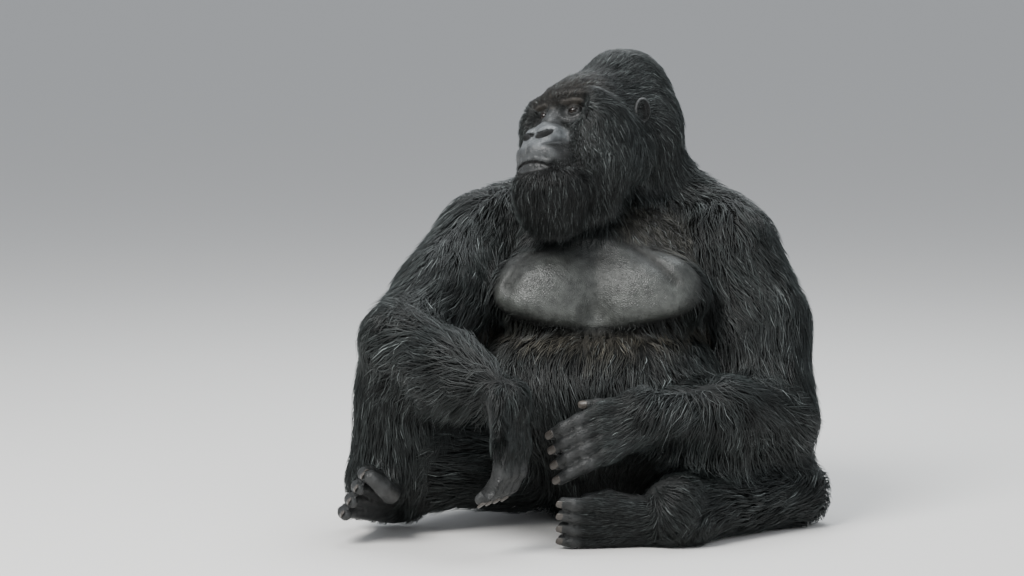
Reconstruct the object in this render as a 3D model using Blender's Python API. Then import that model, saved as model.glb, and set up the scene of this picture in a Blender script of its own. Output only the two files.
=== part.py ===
"""An adult male mountain gorilla sitting on the ground, chest to the front and head turned to its right.

Metres, +Z up. The animal faces -Y, so its own right is -X, and the origin is on the floor under the rump.
Every form reaches out to the tips of the coat. The body is made whole from tapered limbs and rounded
masses, then parted by thin cuts where a person would name its parts.
"""

from math import cos, radians, sin

import bmesh
import bpy
import numpy as np
from mathutils import Matrix, Vector

# ---------------------------------------------------------------- driving dimensions

GAP = 0.0004  # round eyes and nails
SWELL = 0.012  # how far a parting form stands outside the part that it frees
VOXEL = 0.007  # of the remesh that makes the body whole
FINE_REACH = 0.22  # round head, hands and feet, where forms are only lightly rounded into each other
BODY_FACES = 2520  # triangles of the whole body before it is parted
FLOOR_DEPTH = 0.2  # of the block that levels what rests on the floor
EAR_SWELL = 0.003  # the ears are parted closer to their own form
CUT_WIDTH = 0.0006  # by which a parting form grows before it cuts the body, which leaves the gap
REGION_FACES = 44  # triangles of a form that frees a part
THIGH_START = 0.42  # how far from hip to knee the thigh leaves the trunk
FOLD_HEIGHT = 0.405  # of the fold under the breast muscles, where chest meets belly
RUMP_EDGE, RUMP_SLOPE = (0.0, 0.0, 0.09), 42.0  # a point where rump meets belly, and that cut's slope
WIDE = 2.0  # side of a cutting block, well over the body's own
NECK_REGION = ((0.035, 0.085, 0.745), (0.045, 0.07, 0.80), 0.150, 0.150)  # a limb that frees the neck
FORM_DETAIL, EYE_DETAIL, NAIL_DETAIL = 4, 2, 1  # subdivisions of the icospheres

# Joint centres of the sitting pose.
POSE = {
    "shoulder_r": (-0.228, 0.03, 0.565),
    "mid_arm_r": (-0.306, -0.09, 0.470),
    "elbow_r": (-0.392, -0.215, 0.388),
    "mid_forearm_r": (-0.292, -0.345, 0.346),
    "wrist_r": (-0.180, -0.455, 0.305),
    "shoulder_l": (0.268, 0.03, 0.545),
    "mid_arm_l": (0.333, -0.02, 0.400),
    "elbow_l": (0.362, -0.105, 0.215),
    "mid_forearm_l": (0.240, -0.245, 0.238),
    "wrist_l": (0.098, -0.335, 0.256),
    "hip_r": (-0.130, 0.09, 0.175),
    "knee_r": (-0.385, -0.155, 0.300),
    "ankle_r": (-0.428, -0.160, 0.100),
    "hip_l": (0.140, 0.09, 0.160),
    "knee_l": (0.405, -0.10, 0.064),
    "ankle_l": (0.150, -0.345, 0.066),
}

# Girth radii over the coat.
ARM_RADII = {"shoulder": 0.110, "mid_arm": 0.102, "elbow": 0.085, "mid_forearm": 0.083, "wrist": 0.055}
ARM_BULK = {"r": 1.0, "l": 1.10}  # the left arm, held to the side, spreads more than the raised one
LEG_RADII = {"hip": 0.148, "knee": 0.095, "ankle": 0.076}
CALF = ((-0.375, -0.165, 0.250), (-0.372, -0.170, 0.120), 0.108, 0.098)  # of the raised leg, a limb
HAM = ((-0.150, -0.03, 0.130), (-0.310, -0.140, 0.150), 0.125, 0.115)  # underside of the raised thigh, a limb
LOW_KNEE_RADIUS = 0.074  # of the left knee, which lies flat on the floor

HEAD_PLACE = (0.0095, -0.02, 0.785)  # midway between the ears
HEAD_YAW, HEAD_PITCH, HEAD_ROLL = -46.0, -9.5, -10.5  # degrees about Z, X and Y: to its right, up, over
EYE_SPREAD, EYE_DEPTH, EYE_HEIGHT = 0.0405, 0.113, 0.028  # from HEAD_PLACE
EYE_RADIUS = 0.0125

FINGER_RADIUS, TOE_RADIUS = 0.0165, 0.0155
FINGER_PITCH, TOE_PITCH = 0.030, 0.029
FINGER_BONES, TOE_BONES = (0.046, 0.034, 0.024), (0.030, 0.020)
PALM_LENGTH = 0.100
NAIL_SIZE = (0.0085, 0.0105, 0.0030)  # half width, half length, half thickness

SKIN = (0.035, 0.033, 0.034, 1.0)
FUR = (0.018, 0.019, 0.022, 1.0)
HORN = (0.060, 0.052, 0.046, 1.0)
EYE_BROWN = (0.030, 0.012, 0.006, 1.0)


# ---------------------------------------------------------------- forms

def turned(x=0.0, y=0.0, z=0.0):
    """The rotation about X, then Y, then Z, in degrees, as a 3x3 array."""
    cx, sx, cy, sy = cos(radians(x)), sin(radians(x)), cos(radians(y)), sin(radians(y))
    cz, sz = cos(radians(z)), sin(radians(z))
    about_x = np.array([[1, 0, 0], [0, cx, -sx], [0, sx, cx]])
    about_y = np.array([[cy, 0, sy], [0, 1, 0], [-sy, 0, cy]])
    about_z = np.array([[cz, -sz, 0], [sz, cz, 0], [0, 0, 1]])
    return about_z @ about_y @ about_x


HEAD_TURN = turned(z=HEAD_YAW) @ turned(x=HEAD_PITCH) @ turned(y=HEAD_ROLL)


def ball(centre, radii, turn=None):
    """An ellipsoid."""
    return {"kind": "ball", "centre": np.array(centre, float), "radii": np.array(radii, float),
            "turn": np.eye(3) if turn is None else turn}


def limb(start, end, start_radius, end_radius):
    """A tapered limb with round ends."""
    return {"kind": "limb", "start": np.array(start, float), "end": np.array(end, float),
            "radii": (start_radius, end_radius)}


def in_head(point):
    """A place given in the head's own frame: +X its left, -Y forward, +Z up, in millimetres."""
    return np.array(HEAD_PLACE) + HEAD_TURN @ (np.array(point, float) / 1000)


def head_ball(centre, radii, tilt=0.0):
    return ball(in_head(centre), np.array(radii, float) / 1000, HEAD_TURN @ turned(x=tilt))


def head_limb(start, end, start_radius, end_radius):
    return limb(in_head(start), in_head(end), start_radius / 1000, end_radius / 1000)


def head_forms():
    forms = [
        head_ball((0, 5, 40), (92, 112, 98)),  # skull
        head_ball((0, 78, 115), (76, 104, 76)),  # crest and its pad
        head_ball((0, -64, 62), (80, 66, 46)),  # forehead
        head_ball((0, 108, 18), (112, 96, 126)),  # nape
        head_ball((0, -62, -5), (74, 80, 85)),  # face
        head_ball((0, -142, -58), (60, 62, 46)),  # muzzle
        head_ball((0, -168, -60), (55, 46, 28)),  # upper lip
        head_ball((0, -160, -104), (54, 48, 26)),  # lower lip
        head_limb((0, -118, 38), (0, -150, -12), 16, 26),  # bridge of the nose
        head_ball((0, -138, -130), (93, 82, 78)),  # beard
        head_ball((0, -50, -105), (98, 90, 72)),  # jaw
    ]
    for side in (-1, 1):
        forms += [
            head_ball((34 * side, -152, -70), (36, 42, 30)),  # corner of the lips
            head_ball((86 * side, -96, 16), (28, 38, 50)),  # temple
            head_ball((82 * side, -60, -32), (54, 76, 96)),  # cheek
            head_ball((70 * side, 14, -35), (44, 70, 80)),  # between cheek and nape
            head_ball((54 * side, -98, -42), (44, 52, 72)),  # slope from muzzle to cheek
            head_limb((78 * side, -98, 56), (0, -122, 58), 17, 16),  # brow
            head_ball((22 * side, -164, -25), (21, 26, 19)),  # wing of the nose
        ]
    return forms


def neck_forms():
    forms = [limb((0.02, 0.10, 0.61), (0.055, 0.085, 0.715), 0.165, 0.125)]
    for shoulder_x in (-0.17, 0.24):
        forms.append(limb((0.05 + shoulder_x * 0.25, 0.10, 0.695), (shoulder_x, 0.065, 0.605), 0.088, 0.075))
    return forms


def ear_forms(side):
    return [head_ball((100 * side, 20, 38), (13, 22, 29), tilt=-12)]


def chest_forms():
    forms = [
        ball((0.015, 0.05, 0.46), (0.262, 0.205, 0.23)),  # ribs
        ball((0.02, 0.12, 0.565), (0.25, 0.15, 0.150)),  # upper back
        limb((-0.19, 0.05, 0.598), (0.235, 0.06, 0.592), 0.085, 0.085),  # shoulder girdle
    ]
    for x in (-0.095, 0.105):
        forms.append(ball((x, -0.115, 0.468), (0.132, 0.085, 0.092)))  # breast muscle
    return forms


def rump_forms():
    return [
        ball((0.0, 0.105, 0.160), (0.235, 0.205, 0.180)),  # seat
        ball((0.0, 0.0, 0.128), (0.170, 0.170, 0.145)),  # between the thighs
    ]


def belly_forms():
    return [
        ball((0.005, -0.02, 0.262), (0.280, 0.262, 0.200)),  # belly
        ball((0.005, 0.135, 0.345), (0.245, 0.170, 0.20)),  # loins
    ]


def arm_forms(side):
    """Upper arm and forearm, each as two tapered lengths."""
    def run(first, second):
        first_radius, second_radius = ARM_RADII[first] * ARM_BULK[side], ARM_RADII[second] * ARM_BULK[side]
        return limb(POSE[f"{first}_{side}"], POSE[f"{second}_{side}"], first_radius, second_radius)
    return ([run("shoulder", "mid_arm"), run("mid_arm", "elbow")],
            [run("elbow", "mid_forearm"), run("mid_forearm", "wrist")])


def leg_forms(side):
    knee = LEG_RADII["knee"] if side == "r" else LOW_KNEE_RADIUS
    thigh = limb(POSE[f"hip_{side}"], POSE[f"knee_{side}"], LEG_RADII["hip"], knee)
    shank = limb(POSE[f"knee_{side}"], POSE[f"ankle_{side}"], knee, LEG_RADII["ankle"])
    if side == "r":
        return [thigh, limb(*HAM)], [shank, limb(*CALF)]
    return [thigh], [shank]


def digit(root, along, across, lengths, radius, curl):
    """A finger or toe as a chain of bones from its root, each turned by curl about the line across the row.

    It returns the forms, and the tip's place, its direction and the way its nail faces."""
    forms = []
    place = np.array(root, float)
    heading = np.array(along, float) / np.linalg.norm(along)
    axis = Vector(across).normalized()
    for number, length in enumerate(lengths):
        size = radius * (1 - 0.07 * number)
        far = place + heading * length
        forms.append(limb(place, far, size, size * 0.95))
        place = far
        if number < len(lengths) - 1:
            heading = np.array(Matrix.Rotation(radians(curl), 3, axis) @ Vector(heading))
    facing = np.cross(heading, np.array(axis))
    return forms, {"place": place, "heading": heading, "facing": facing, "radius": radius * 0.82}


def unit(vector):
    vector = np.array(vector, float)
    return vector / np.linalg.norm(vector)


# How each hand and foot lies. along runs from wrist or heel to the digits, and row runs across them, so
# that digits curl towards row x along. thumb_end says at which end of the row the first digit is.
HANDS = {
    "r": {"along": (0.10, -0.14, -0.98), "row": (0.49, 0.87, 0.0), "thumb_end": 1, "curl": 22},
    "l": {"along": (-0.88, -0.34, -0.32), "row": (0.15, -0.30, -0.94), "thumb_end": -1, "curl": 16},
}
FEET = {
    "r": {"heel": (-0.402, -0.135, 0.050), "balls": (-0.470, -0.310, 0.100), "along": (-0.22, -0.97, 0.08),
          "row": (0.46, -0.08, 0.88), "thumb_end": 1,
          "first_toe": ((-0.405, -0.215, 0.088), (-0.408, -0.318, 0.098), (-0.419, -0.356, 0.116),
                        (-0.442, -0.372, 0.138))},
    "l": {"heel": (0.180, -0.345, 0.044), "balls": (-0.020, -0.400, 0.054), "along": (-0.95, -0.30, 0.0),
          "row": (0.0, 0.42, -0.90), "thumb_end": -1,
          "first_toe": ((0.080, -0.365, 0.080), (0.020, -0.350, 0.092), (-0.018, -0.342, 0.084),
                        (-0.042, -0.346, 0.070))},
}
HEEL_RADIUS, INSTEP_RADIUS = 0.046, 0.031
FIRST_TOE_RADII = (0.026, 0.022, 0.0195, 0.017)


def hand_forms(side):
    """The palm, four fingers and a thumb, and the nails' seats."""
    lie = HANDS[side]
    along, row = unit(lie["along"]), unit(lie["row"])
    palm_side = np.cross(row, along)
    wrist = np.array(POSE[f"wrist_{side}"])
    forms, tips = [], []
    for number in range(4):
        offset = row * (number - 1.5) * FINGER_PITCH
        knuckle = wrist + along * PALM_LENGTH + offset
        forms.append(limb(wrist + offset * 0.55, knuckle, FINGER_RADIUS * 1.75, FINGER_RADIUS * 1.25))
        bones, tip = digit(knuckle, along + palm_side * 0.25, row, FINGER_BONES, FINGER_RADIUS, lie["curl"])
        forms += bones
        tips.append(tip)
    thumb_side = row * lie["thumb_end"]
    root = wrist + along * 0.022 + thumb_side * 0.030 + palm_side * 0.008
    bones, tip = digit(root, along + thumb_side * 0.45 + palm_side * 0.30, row, (0.045, 0.030, 0.022),
                       FINGER_RADIUS * 0.95, lie["curl"] * 0.6)
    return forms + bones, tips + [tip]


def foot_forms(side):
    """The heel, instep, four toes and the big toe, and the nails' seats."""
    lie = FEET[side]
    along, row = unit(lie["along"]), unit(lie["row"])
    heel, balls, ankle = np.array(lie["heel"]), np.array(lie["balls"]), np.array(POSE[f"ankle_{side}"])
    forms = [limb(ankle, heel, LEG_RADII["ankle"] * 0.9, HEEL_RADIUS)]
    tips = []
    for number in range(4):
        offset = row * (number - 1.5) * TOE_PITCH
        forms.append(limb(heel + offset * 0.4, balls + offset, INSTEP_RADIUS, TOE_RADIUS * 1.25))
        bones, tip = digit(balls + offset, along, row, TOE_BONES, TOE_RADIUS, 24)
        forms += bones
        tips.append(tip)
    points = [np.array(point) for point in lie["first_toe"]]
    for number, (start, end) in enumerate(zip(points, points[1:])):
        forms.append(limb(start, end, FIRST_TOE_RADII[number], FIRST_TOE_RADII[number + 1]))
    heading = unit(points[-1] - points[-2])
    tips.append({"place": points[-1], "heading": heading, "facing": np.cross(heading, row),
                 "radius": FIRST_TOE_RADII[-1] * 0.9})
    return forms, tips


def body_parts():
    """Every part that is freed from the whole body, in the order of cutting, with its forms."""
    parts, tips = {}, {}
    for side in "lr":
        parts[f"ear_{side}"] = ear_forms(1 if side == "l" else -1)
    parts["head"] = head_forms()
    parts["neck"] = neck_forms()
    for side in "lr":
        parts[f"hand_{side}"], tips[f"finger_{side}"] = hand_forms(side)
        parts[f"foot_{side}"], tips[f"toe_{side}"] = foot_forms(side)
    for side in "lr":
        upper_arm, forearm = arm_forms(side)
        parts[f"forearm_{side}"] = forearm
        parts[f"upper_arm_{side}"] = upper_arm
    for side in "lr":
        thigh, shank = leg_forms(side)
        parts[f"shank_{side}"] = shank
        parts[f"thigh_{side}"] = thigh
    parts["chest"] = chest_forms()
    parts["rump"], parts["belly"] = rump_forms(), belly_forms()
    return parts, tips


# ---------------------------------------------------------------- making

def add_form(bm, form, swell, detail):
    """Adds the closed surface of a form to a bmesh. detail is the icosphere's number of subdivisions."""
    if form["kind"] == "ball":
        place = Matrix.Translation(form["centre"]) @ Matrix(form["turn"].tolist()).to_4x4()
        size = Matrix.Diagonal([*(form["radii"] + swell), 1.0])
        bmesh.ops.create_icosphere(bm, subdivisions=detail, radius=1.0, matrix=place @ size)
        return
    ends = bmesh.new()
    for end, radius in zip((form["start"], form["end"]), form["radii"]):
        place = Matrix.Translation(end)
        bmesh.ops.create_icosphere(ends, subdivisions=detail, radius=radius + swell, matrix=place)
    wrap(ends)
    mesh = bpy.data.meshes.new("limb")
    ends.to_mesh(mesh)
    ends.free()
    bm.from_mesh(mesh)
    bpy.data.meshes.remove(mesh)


def wrap(bm):
    """Replaces all the faces of a bmesh with the convex hull of its points."""
    bmesh.ops.delete(bm, geom=bm.faces[:], context="FACES_ONLY")
    bmesh.ops.delete(bm, geom=bm.edges[:], context="EDGES_FACES")
    hull = bmesh.ops.convex_hull(bm, input=bm.verts[:])
    left_over = hull["geom_interior"] + hull["geom_unused"]
    spare = {item for item in left_over if isinstance(item, bmesh.types.BMVert)}
    bmesh.ops.delete(bm, geom=list(spare), context="VERTS")


def mesh_object(name, forms, swell=0.0, detail=FORM_DETAIL, hull=False):
    bm = bmesh.new()
    for form in forms:
        add_form(bm, form, swell, detail)
    if hull:
        wrap(bm)
    return finished(name, bm)


def finished(name, bm):
    """Turns a bmesh into an object in the scene."""
    bmesh.ops.recalc_face_normals(bm, faces=bm.faces)
    mesh = bpy.data.meshes.new(name)
    bm.to_mesh(mesh)
    bm.free()
    obj = bpy.data.objects.new(name, mesh)
    bpy.context.scene.collection.objects.link(obj)
    return obj


def block(name, centre, size, turn=None):
    """A cuboid."""
    bm = bmesh.new()
    rotation = Matrix((np.eye(3) if turn is None else turn).tolist()).to_4x4()
    matrix = Matrix.Translation(centre) @ rotation @ Matrix.Diagonal([*size, 1.0])
    bmesh.ops.create_cube(bm, size=1.0, matrix=matrix)
    return finished(name, bm)


def baked(obj):
    """Applies the object's modifiers."""
    graph = bpy.context.evaluated_depsgraph_get()
    mesh = bpy.data.meshes.new_from_object(obj.evaluated_get(graph))
    obj.modifiers.clear()
    obj.data = mesh
    return obj


def boolean(obj, other, operation):
    modifier = obj.modifiers.new(operation.title(), "BOOLEAN")
    modifier.operation = operation
    modifier.solver = "EXACT"
    modifier.object = other
    baked(obj)
    keep_largest(obj)


def keep_largest(obj):
    """Deletes every loose piece but the one with the most surface."""
    bm = bmesh.new()
    bm.from_mesh(obj.data)
    left, pieces = set(bm.faces), []
    while left:
        piece, edge_of_piece = set(), [left.pop()]
        while edge_of_piece:
            face = edge_of_piece.pop()
            piece.add(face)
            for edge in face.edges:
                for other in edge.link_faces:
                    if other in left:
                        left.remove(other)
                        edge_of_piece.append(other)
        pieces.append(piece)
    pieces.sort(key=lambda piece: sum(face.calc_area() for face in piece))
    for piece in pieces[:-1]:
        bmesh.ops.delete(bm, geom=list(piece), context="FACES")
    bmesh.ops.holes_fill(bm, edges=[edge for edge in bm.edges if edge.is_boundary], sides=4)
    bmesh.ops.triangulate(bm, faces=bm.faces)
    bm.to_mesh(obj.data)
    bm.free()


def remove(obj):
    bpy.data.objects.remove(obj)


def whole_body(parts):
    """All the forms joined, rounded into each other, thinned out and levelled where they meet the floor."""
    body = mesh_object("body", [form for forms in parts.values() for form in forms])
    remesh = body.modifiers.new("Join", "REMESH")
    remesh.mode = "VOXEL"
    remesh.voxel_size = VOXEL
    baked(body)
    small = [HEAD_PLACE] + [POSE[f"wrist_{side}"] for side in "lr"] + [FEET[side]["balls"] for side in "lr"]
    broad = body.vertex_groups.new(name="broad")
    broad.add([vertex.index for vertex in body.data.vertices
               if min((vertex.co - Vector(place)).length for place in small) > FINE_REACH], 1.0, "REPLACE")
    smooth = body.modifiers.new("Round", "SMOOTH")
    smooth.factor, smooth.iterations = 0.5, 3
    blend = body.modifiers.new("Blend", "SMOOTH")
    blend.factor, blend.iterations, blend.vertex_group = 0.6, 30, "broad"
    baked(body)
    thin = body.modifiers.new("Thin", "DECIMATE")
    thin.ratio = BODY_FACES / (2 * len(body.data.polygons))
    baked(body)
    floor = block("floor", (0, 0, -FLOOR_DEPTH / 2), (WIDE, WIDE, FLOOR_DEPTH))
    boolean(body, floor, "DIFFERENCE")
    remove(floor)
    return body


def part_off(body, name, region):
    """Cuts the named part, which region encloses, out of the body, and leaves a thin gap round it."""
    part = bpy.data.objects.new(name, body.data.copy())
    bpy.context.scene.collection.objects.link(part)
    boolean(part, region, "INTERSECT")
    for vertex, normal in [(vertex, vertex.normal.copy()) for vertex in region.data.vertices]:
        vertex.co += normal * CUT_WIDTH
    boolean(body, region, "DIFFERENCE")
    remove(region)
    return part


def enclosing(name, forms, swell):
    """A simple convex form round the forms given."""
    region = mesh_object(f"{name}_region", forms, swell, hull=True)
    thin = region.modifiers.new("Thin", "DECIMATE")
    thin.ratio = min(1.0, REGION_FACES / len(region.data.polygons))
    return baked(region)


def parting_region(name, forms):
    """The form that frees a part."""
    if name == "chest":
        return block("chest_region", (0, 0, FOLD_HEIGHT + WIDE / 2), (WIDE, WIDE, WIDE))
    if name == "rump":
        slope = turned(x=RUMP_SLOPE)
        centre = np.array(RUMP_EDGE) + slope @ (0, 0, -WIDE / 2)
        return block("rump_region", centre, (WIDE, WIDE, WIDE), slope)
    if name == "neck":
        forms = [limb(*NECK_REGION)]
    if name.startswith("thigh"):
        start, end, (hip_radius, knee_radius) = forms[0]["start"], forms[0]["end"], forms[0]["radii"]
        start_radius = hip_radius + (knee_radius - hip_radius) * THIGH_START
        forms = [limb(start + (end - start) * THIGH_START, end, start_radius, knee_radius)]
    return enclosing(name, forms, EAR_SWELL if name.startswith("ear") else SWELL)


def material(name, colour, roughness):
    made = bpy.data.materials.new(name)
    made.use_nodes = True
    shader = made.node_tree.nodes["Principled BSDF"]
    shader.inputs["Base Color"].default_value = colour
    shader.inputs["Roughness"].default_value = roughness
    shader.inputs["Metallic"].default_value = 0.0
    made.diffuse_color = colour
    return made


def finish(obj, colour, roughness):
    obj.data.materials.clear()
    obj.data.materials.append(material(f"{obj.name}_finish", colour, roughness))
    obj.data.shade_smooth()


def make_eyes(body):
    """Two eyeballs, each in a socket with a thin gap."""
    for side, sign in (("l", 1), ("r", -1)):
        place = in_head((EYE_SPREAD * 1000 * sign, -EYE_DEPTH * 1000, EYE_HEIGHT * 1000))
        radii = np.full(3, EYE_RADIUS)
        socket = mesh_object("socket", [ball(place, radii)], GAP, EYE_DETAIL)
        boolean(body, socket, "DIFFERENCE")
        remove(socket)
        eye = mesh_object(f"eye_{side}", [ball(place, radii)], 0.0, EYE_DETAIL)
        finish(eye, EYE_BROWN, 0.08)


def nail_form(tip):
    """A flat oval let into the back of a digit's tip."""
    heading, facing = unit(tip["heading"]), unit(tip["facing"])
    centre = tip["place"] + heading * tip["radius"] * 0.30 + facing * tip["radius"] * 0.80
    return ball(centre, NAIL_SIZE, np.column_stack([np.cross(heading, facing), heading, facing]))


def make_nails(body, tips):
    for row, row_tips in tips.items():
        kind, side = row.split("_")
        for number, tip in enumerate(row_tips):
            form = nail_form(tip)
            bed = mesh_object("bed", [form], GAP, NAIL_DETAIL)
            boolean(body, bed, "DIFFERENCE")
            remove(bed)
            nail = mesh_object(f"nail_{kind}_{side}_{number + 1}", [form], 0.0, NAIL_DETAIL)
            finish(nail, HORN, 0.35)


def main():
    for obj in list(bpy.data.objects):
        bpy.data.objects.remove(obj)
    parts, tips = body_parts()
    body = whole_body(parts)
    make_eyes(body)
    make_nails(body, tips)
    bare = ("hand", "foot", "ear")
    for name, forms in parts.items():
        if name == "belly":
            continue
        part = part_off(body, name, parting_region(name, forms))
        finish(part, SKIN if name.startswith(bare) or name == "chest" else FUR, 0.6)
    body.name = "belly"
    finish(body, FUR, 0.6)


main()
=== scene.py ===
"""The looks of an adult male mountain gorilla that sits on the ground with its head turned to its right.

Metres, +Z up. The animal faces -Y, so its own right is -X. One skin stands for all the nodes of flesh and
lies under the coat. The coat is tufts of solid mesh that lie along the body and end at the solids' surface.
The head also has a frame of its own, in millimetres: +X its left, -Y forward, +Z up.
"""

from math import cos, pi, radians, sin
from types import SimpleNamespace as Record

import bmesh
import bpy
import numpy as np
import openvdb
from mathutils import Matrix, Vector
from mathutils.kdtree import KDTree


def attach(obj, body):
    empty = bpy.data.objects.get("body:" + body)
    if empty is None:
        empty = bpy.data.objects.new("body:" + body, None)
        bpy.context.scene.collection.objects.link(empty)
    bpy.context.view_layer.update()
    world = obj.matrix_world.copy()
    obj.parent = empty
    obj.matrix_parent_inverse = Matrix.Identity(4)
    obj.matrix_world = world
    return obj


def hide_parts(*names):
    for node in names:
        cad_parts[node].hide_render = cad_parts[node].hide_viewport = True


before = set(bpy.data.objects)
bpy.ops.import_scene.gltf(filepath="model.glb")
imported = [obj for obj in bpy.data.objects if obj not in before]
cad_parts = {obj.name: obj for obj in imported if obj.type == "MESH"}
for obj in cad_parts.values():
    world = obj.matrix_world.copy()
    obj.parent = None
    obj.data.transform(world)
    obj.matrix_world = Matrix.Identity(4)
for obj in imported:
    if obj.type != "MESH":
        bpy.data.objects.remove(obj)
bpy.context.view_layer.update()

# ---------------------------------------------------------------- pose, as in the solids

POSE = {
    "shoulder_r": (-0.228, 0.03, 0.565),
    "mid_arm_r": (-0.306, -0.09, 0.470),
    "elbow_r": (-0.392, -0.215, 0.388),
    "mid_forearm_r": (-0.292, -0.345, 0.346),
    "wrist_r": (-0.180, -0.455, 0.305),
    "shoulder_l": (0.268, 0.03, 0.545),
    "mid_arm_l": (0.333, -0.02, 0.400),
    "elbow_l": (0.362, -0.105, 0.215),
    "mid_forearm_l": (0.240, -0.245, 0.238),
    "wrist_l": (0.098, -0.335, 0.256),
    "hip_r": (-0.130, 0.09, 0.175),
    "knee_r": (-0.385, -0.155, 0.300),
    "ankle_r": (-0.428, -0.160, 0.100),
    "hip_l": (0.140, 0.09, 0.160),
    "knee_l": (0.405, -0.10, 0.064),
    "ankle_l": (0.150, -0.345, 0.066),
}
POSE = {name: np.array(place) for name, place in POSE.items()}
ARM_RADII = {"shoulder": 0.110, "mid_arm": 0.102, "elbow": 0.085, "mid_forearm": 0.083, "wrist": 0.055}
ARM_BULK = {"r": 1.0, "l": 1.10}
LEG_RADII = {"hip": 0.148, "knee": 0.095, "ankle": 0.076}
CALF = ((-0.375, -0.165, 0.250), (-0.372, -0.170, 0.120), (0.108, 0.098))
HAM = ((-0.150, -0.03, 0.130), (-0.310, -0.140, 0.150), (0.125, 0.115))
LOW_KNEE_RADIUS = 0.074
HEAD_PLACE = np.array((0.0095, -0.02, 0.785))
HEAD_YAW, HEAD_PITCH, HEAD_ROLL = -46.0, -9.5, -10.5
EYE_PLACE = (40.5, -113.0, 28.0)  # in the head's frame
EYE_RADIUS = 0.0125
FINGER_RADIUS, TOE_RADIUS = 0.0165, 0.0155
FINGER_PITCH, TOE_PITCH = 0.030, 0.029
FINGER_BONES, TOE_BONES, THUMB_BONES = (0.046, 0.034, 0.024), (0.030, 0.020), (0.045, 0.030, 0.022)
TOE_CURL = 24
PALM_LENGTH = 0.100
HANDS = {
    "r": {"along": (0.10, -0.14, -0.98), "row": (0.49, 0.87, 0.0), "thumb_end": 1, "curl": 22},
    "l": {"along": (-0.88, -0.34, -0.32), "row": (0.15, -0.30, -0.94), "thumb_end": -1, "curl": 16},
}
FEET = {
    "r": {"heel": (-0.402, -0.135, 0.050), "balls": (-0.470, -0.310, 0.100), "along": (-0.22, -0.97, 0.08),
          "row": (0.46, -0.08, 0.88),
          "first_toe": ((-0.405, -0.215, 0.088), (-0.408, -0.318, 0.098), (-0.419, -0.356, 0.116),
                        (-0.442, -0.372, 0.138))},
    "l": {"heel": (0.180, -0.345, 0.044), "balls": (-0.020, -0.400, 0.054), "along": (-0.95, -0.30, 0.0),
          "row": (0.0, 0.42, -0.90),
          "first_toe": ((0.080, -0.365, 0.080), (0.020, -0.350, 0.092), (-0.018, -0.342, 0.084),
                        (-0.042, -0.346, 0.070))},
}
HEEL_RADIUS, INSTEP_RADIUS = 0.046, 0.031
FIRST_TOE_RADII = (0.026, 0.022, 0.0195, 0.017)

# ---------------------------------------------------------------- coats

# Of each coat: its depth over the skin, and a tuft's length, half width and curl, in metres; how densely it
# grows; how far it hangs free of the body; and the share of grey hairs.
COATS = {
    "crown": (0.014, 0.036, 0.0007, 0.0030, 1.1, 0.0, 0.35),
    "nape": (0.024, 0.055, 0.0010, 0.0045, 0.9, 0.1, 0.30),
    "brow": (0.004, 0.011, 0.0005, 0.0, 1.6, 0.0, 0.10),
    "face": (0.003, 0.007, 0.00035, 0.0, 1.0, 0.0, 0.50),
    "front": (0.010, 0.028, 0.0006, 0.0030, 1.2, 0.0, 0.45),
    "cheek": (0.026, 0.055, 0.0007, 0.0050, 1.0, 0.45, 0.60),
    "beard": (0.022, 0.050, 0.0007, 0.0040, 1.0, 0.8, 0.30),
    "ear": (0.0015, 0.010, 0.0004, 0.0, 0.25, 0.0, 0.10),
    "neck": (0.026, 0.060, 0.0011, 0.0050, 0.8, 0.1, 0.25),
    "chest": (0.018, 0.050, 0.0010, 0.0040, 0.8, 0.1, 0.20),
    "back": (0.018, 0.045, 0.0011, 0.0025, 0.9, 0.0, 0.50),
    "belly": (0.024, 0.070, 0.0010, 0.0040, 1.0, 0.1, 0.25),
    "rump": (0.022, 0.055, 0.0012, 0.0015, 0.7, 0.0, 0.25),
    "upper_arm": (0.032, 0.085, 0.0011, 0.0055, 1.0, 0.1, 0.25),
    "forearm": (0.030, 0.095, 0.0011, 0.0085, 1.1, 0.45, 0.25),
    "thigh": (0.026, 0.065, 0.0011, 0.0020, 0.8, 0.0, 0.15),
    "shank": (0.024, 0.070, 0.0011, 0.0025, 1.0, 0.2, 0.15),
    "hand": (0.005, 0.034, 0.0008, 0.0025, 1.5, 0.25, 0.10),
    "foot": (0.005, 0.024, 0.0007, 0.0010, 1.2, 0.1, 0.10),
    "digit": (0.002, 0.010, 0.0005, 0.0, 0.25, 0.0, 0.10),
}
DEPTH, LENGTH, WIDTH, CURL, DENSITY, HANG, GREY = range(7)
PARTS = ("head", "ear", "neck", "trunk", "arm_l", "arm_r", "hand_l", "hand_r", "leg_l", "leg_r", "foot_l",
         "foot_r")
HEAD, EAR, NECK, TRUNK = range(4)
TORSO, ARMS, LEGS, EXTREMITIES = (NECK, TRUNK), (4, 5), (8, 9), (6, 7, 10, 11)
LOOSE_COATS = ("cheek", "nape", "beard", "crown")


# ---------------------------------------------------------------- forms

def turned(x=0.0, y=0.0, z=0.0):
    """The rotation about X, then Y, then Z, in degrees, as a 3x3 array."""
    (cx, sx), (cy, sy), (cz, sz) = ((cos(radians(angle)), sin(radians(angle))) for angle in (x, y, z))
    about_x = np.array([[1, 0, 0], [0, cx, -sx], [0, sx, cx]])
    about_y = np.array([[cy, 0, sy], [0, 1, 0], [-sy, 0, cy]])
    about_z = np.array([[cz, -sz, 0], [sz, cz, 0], [0, 0, 1]])
    return about_z @ about_y @ about_x


def size_of(vectors):
    return np.linalg.norm(vectors, axis=-1)


def unit(vectors):
    vectors = np.asarray(vectors, float)
    return vectors / (size_of(vectors)[..., None] + 1e-12)


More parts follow.
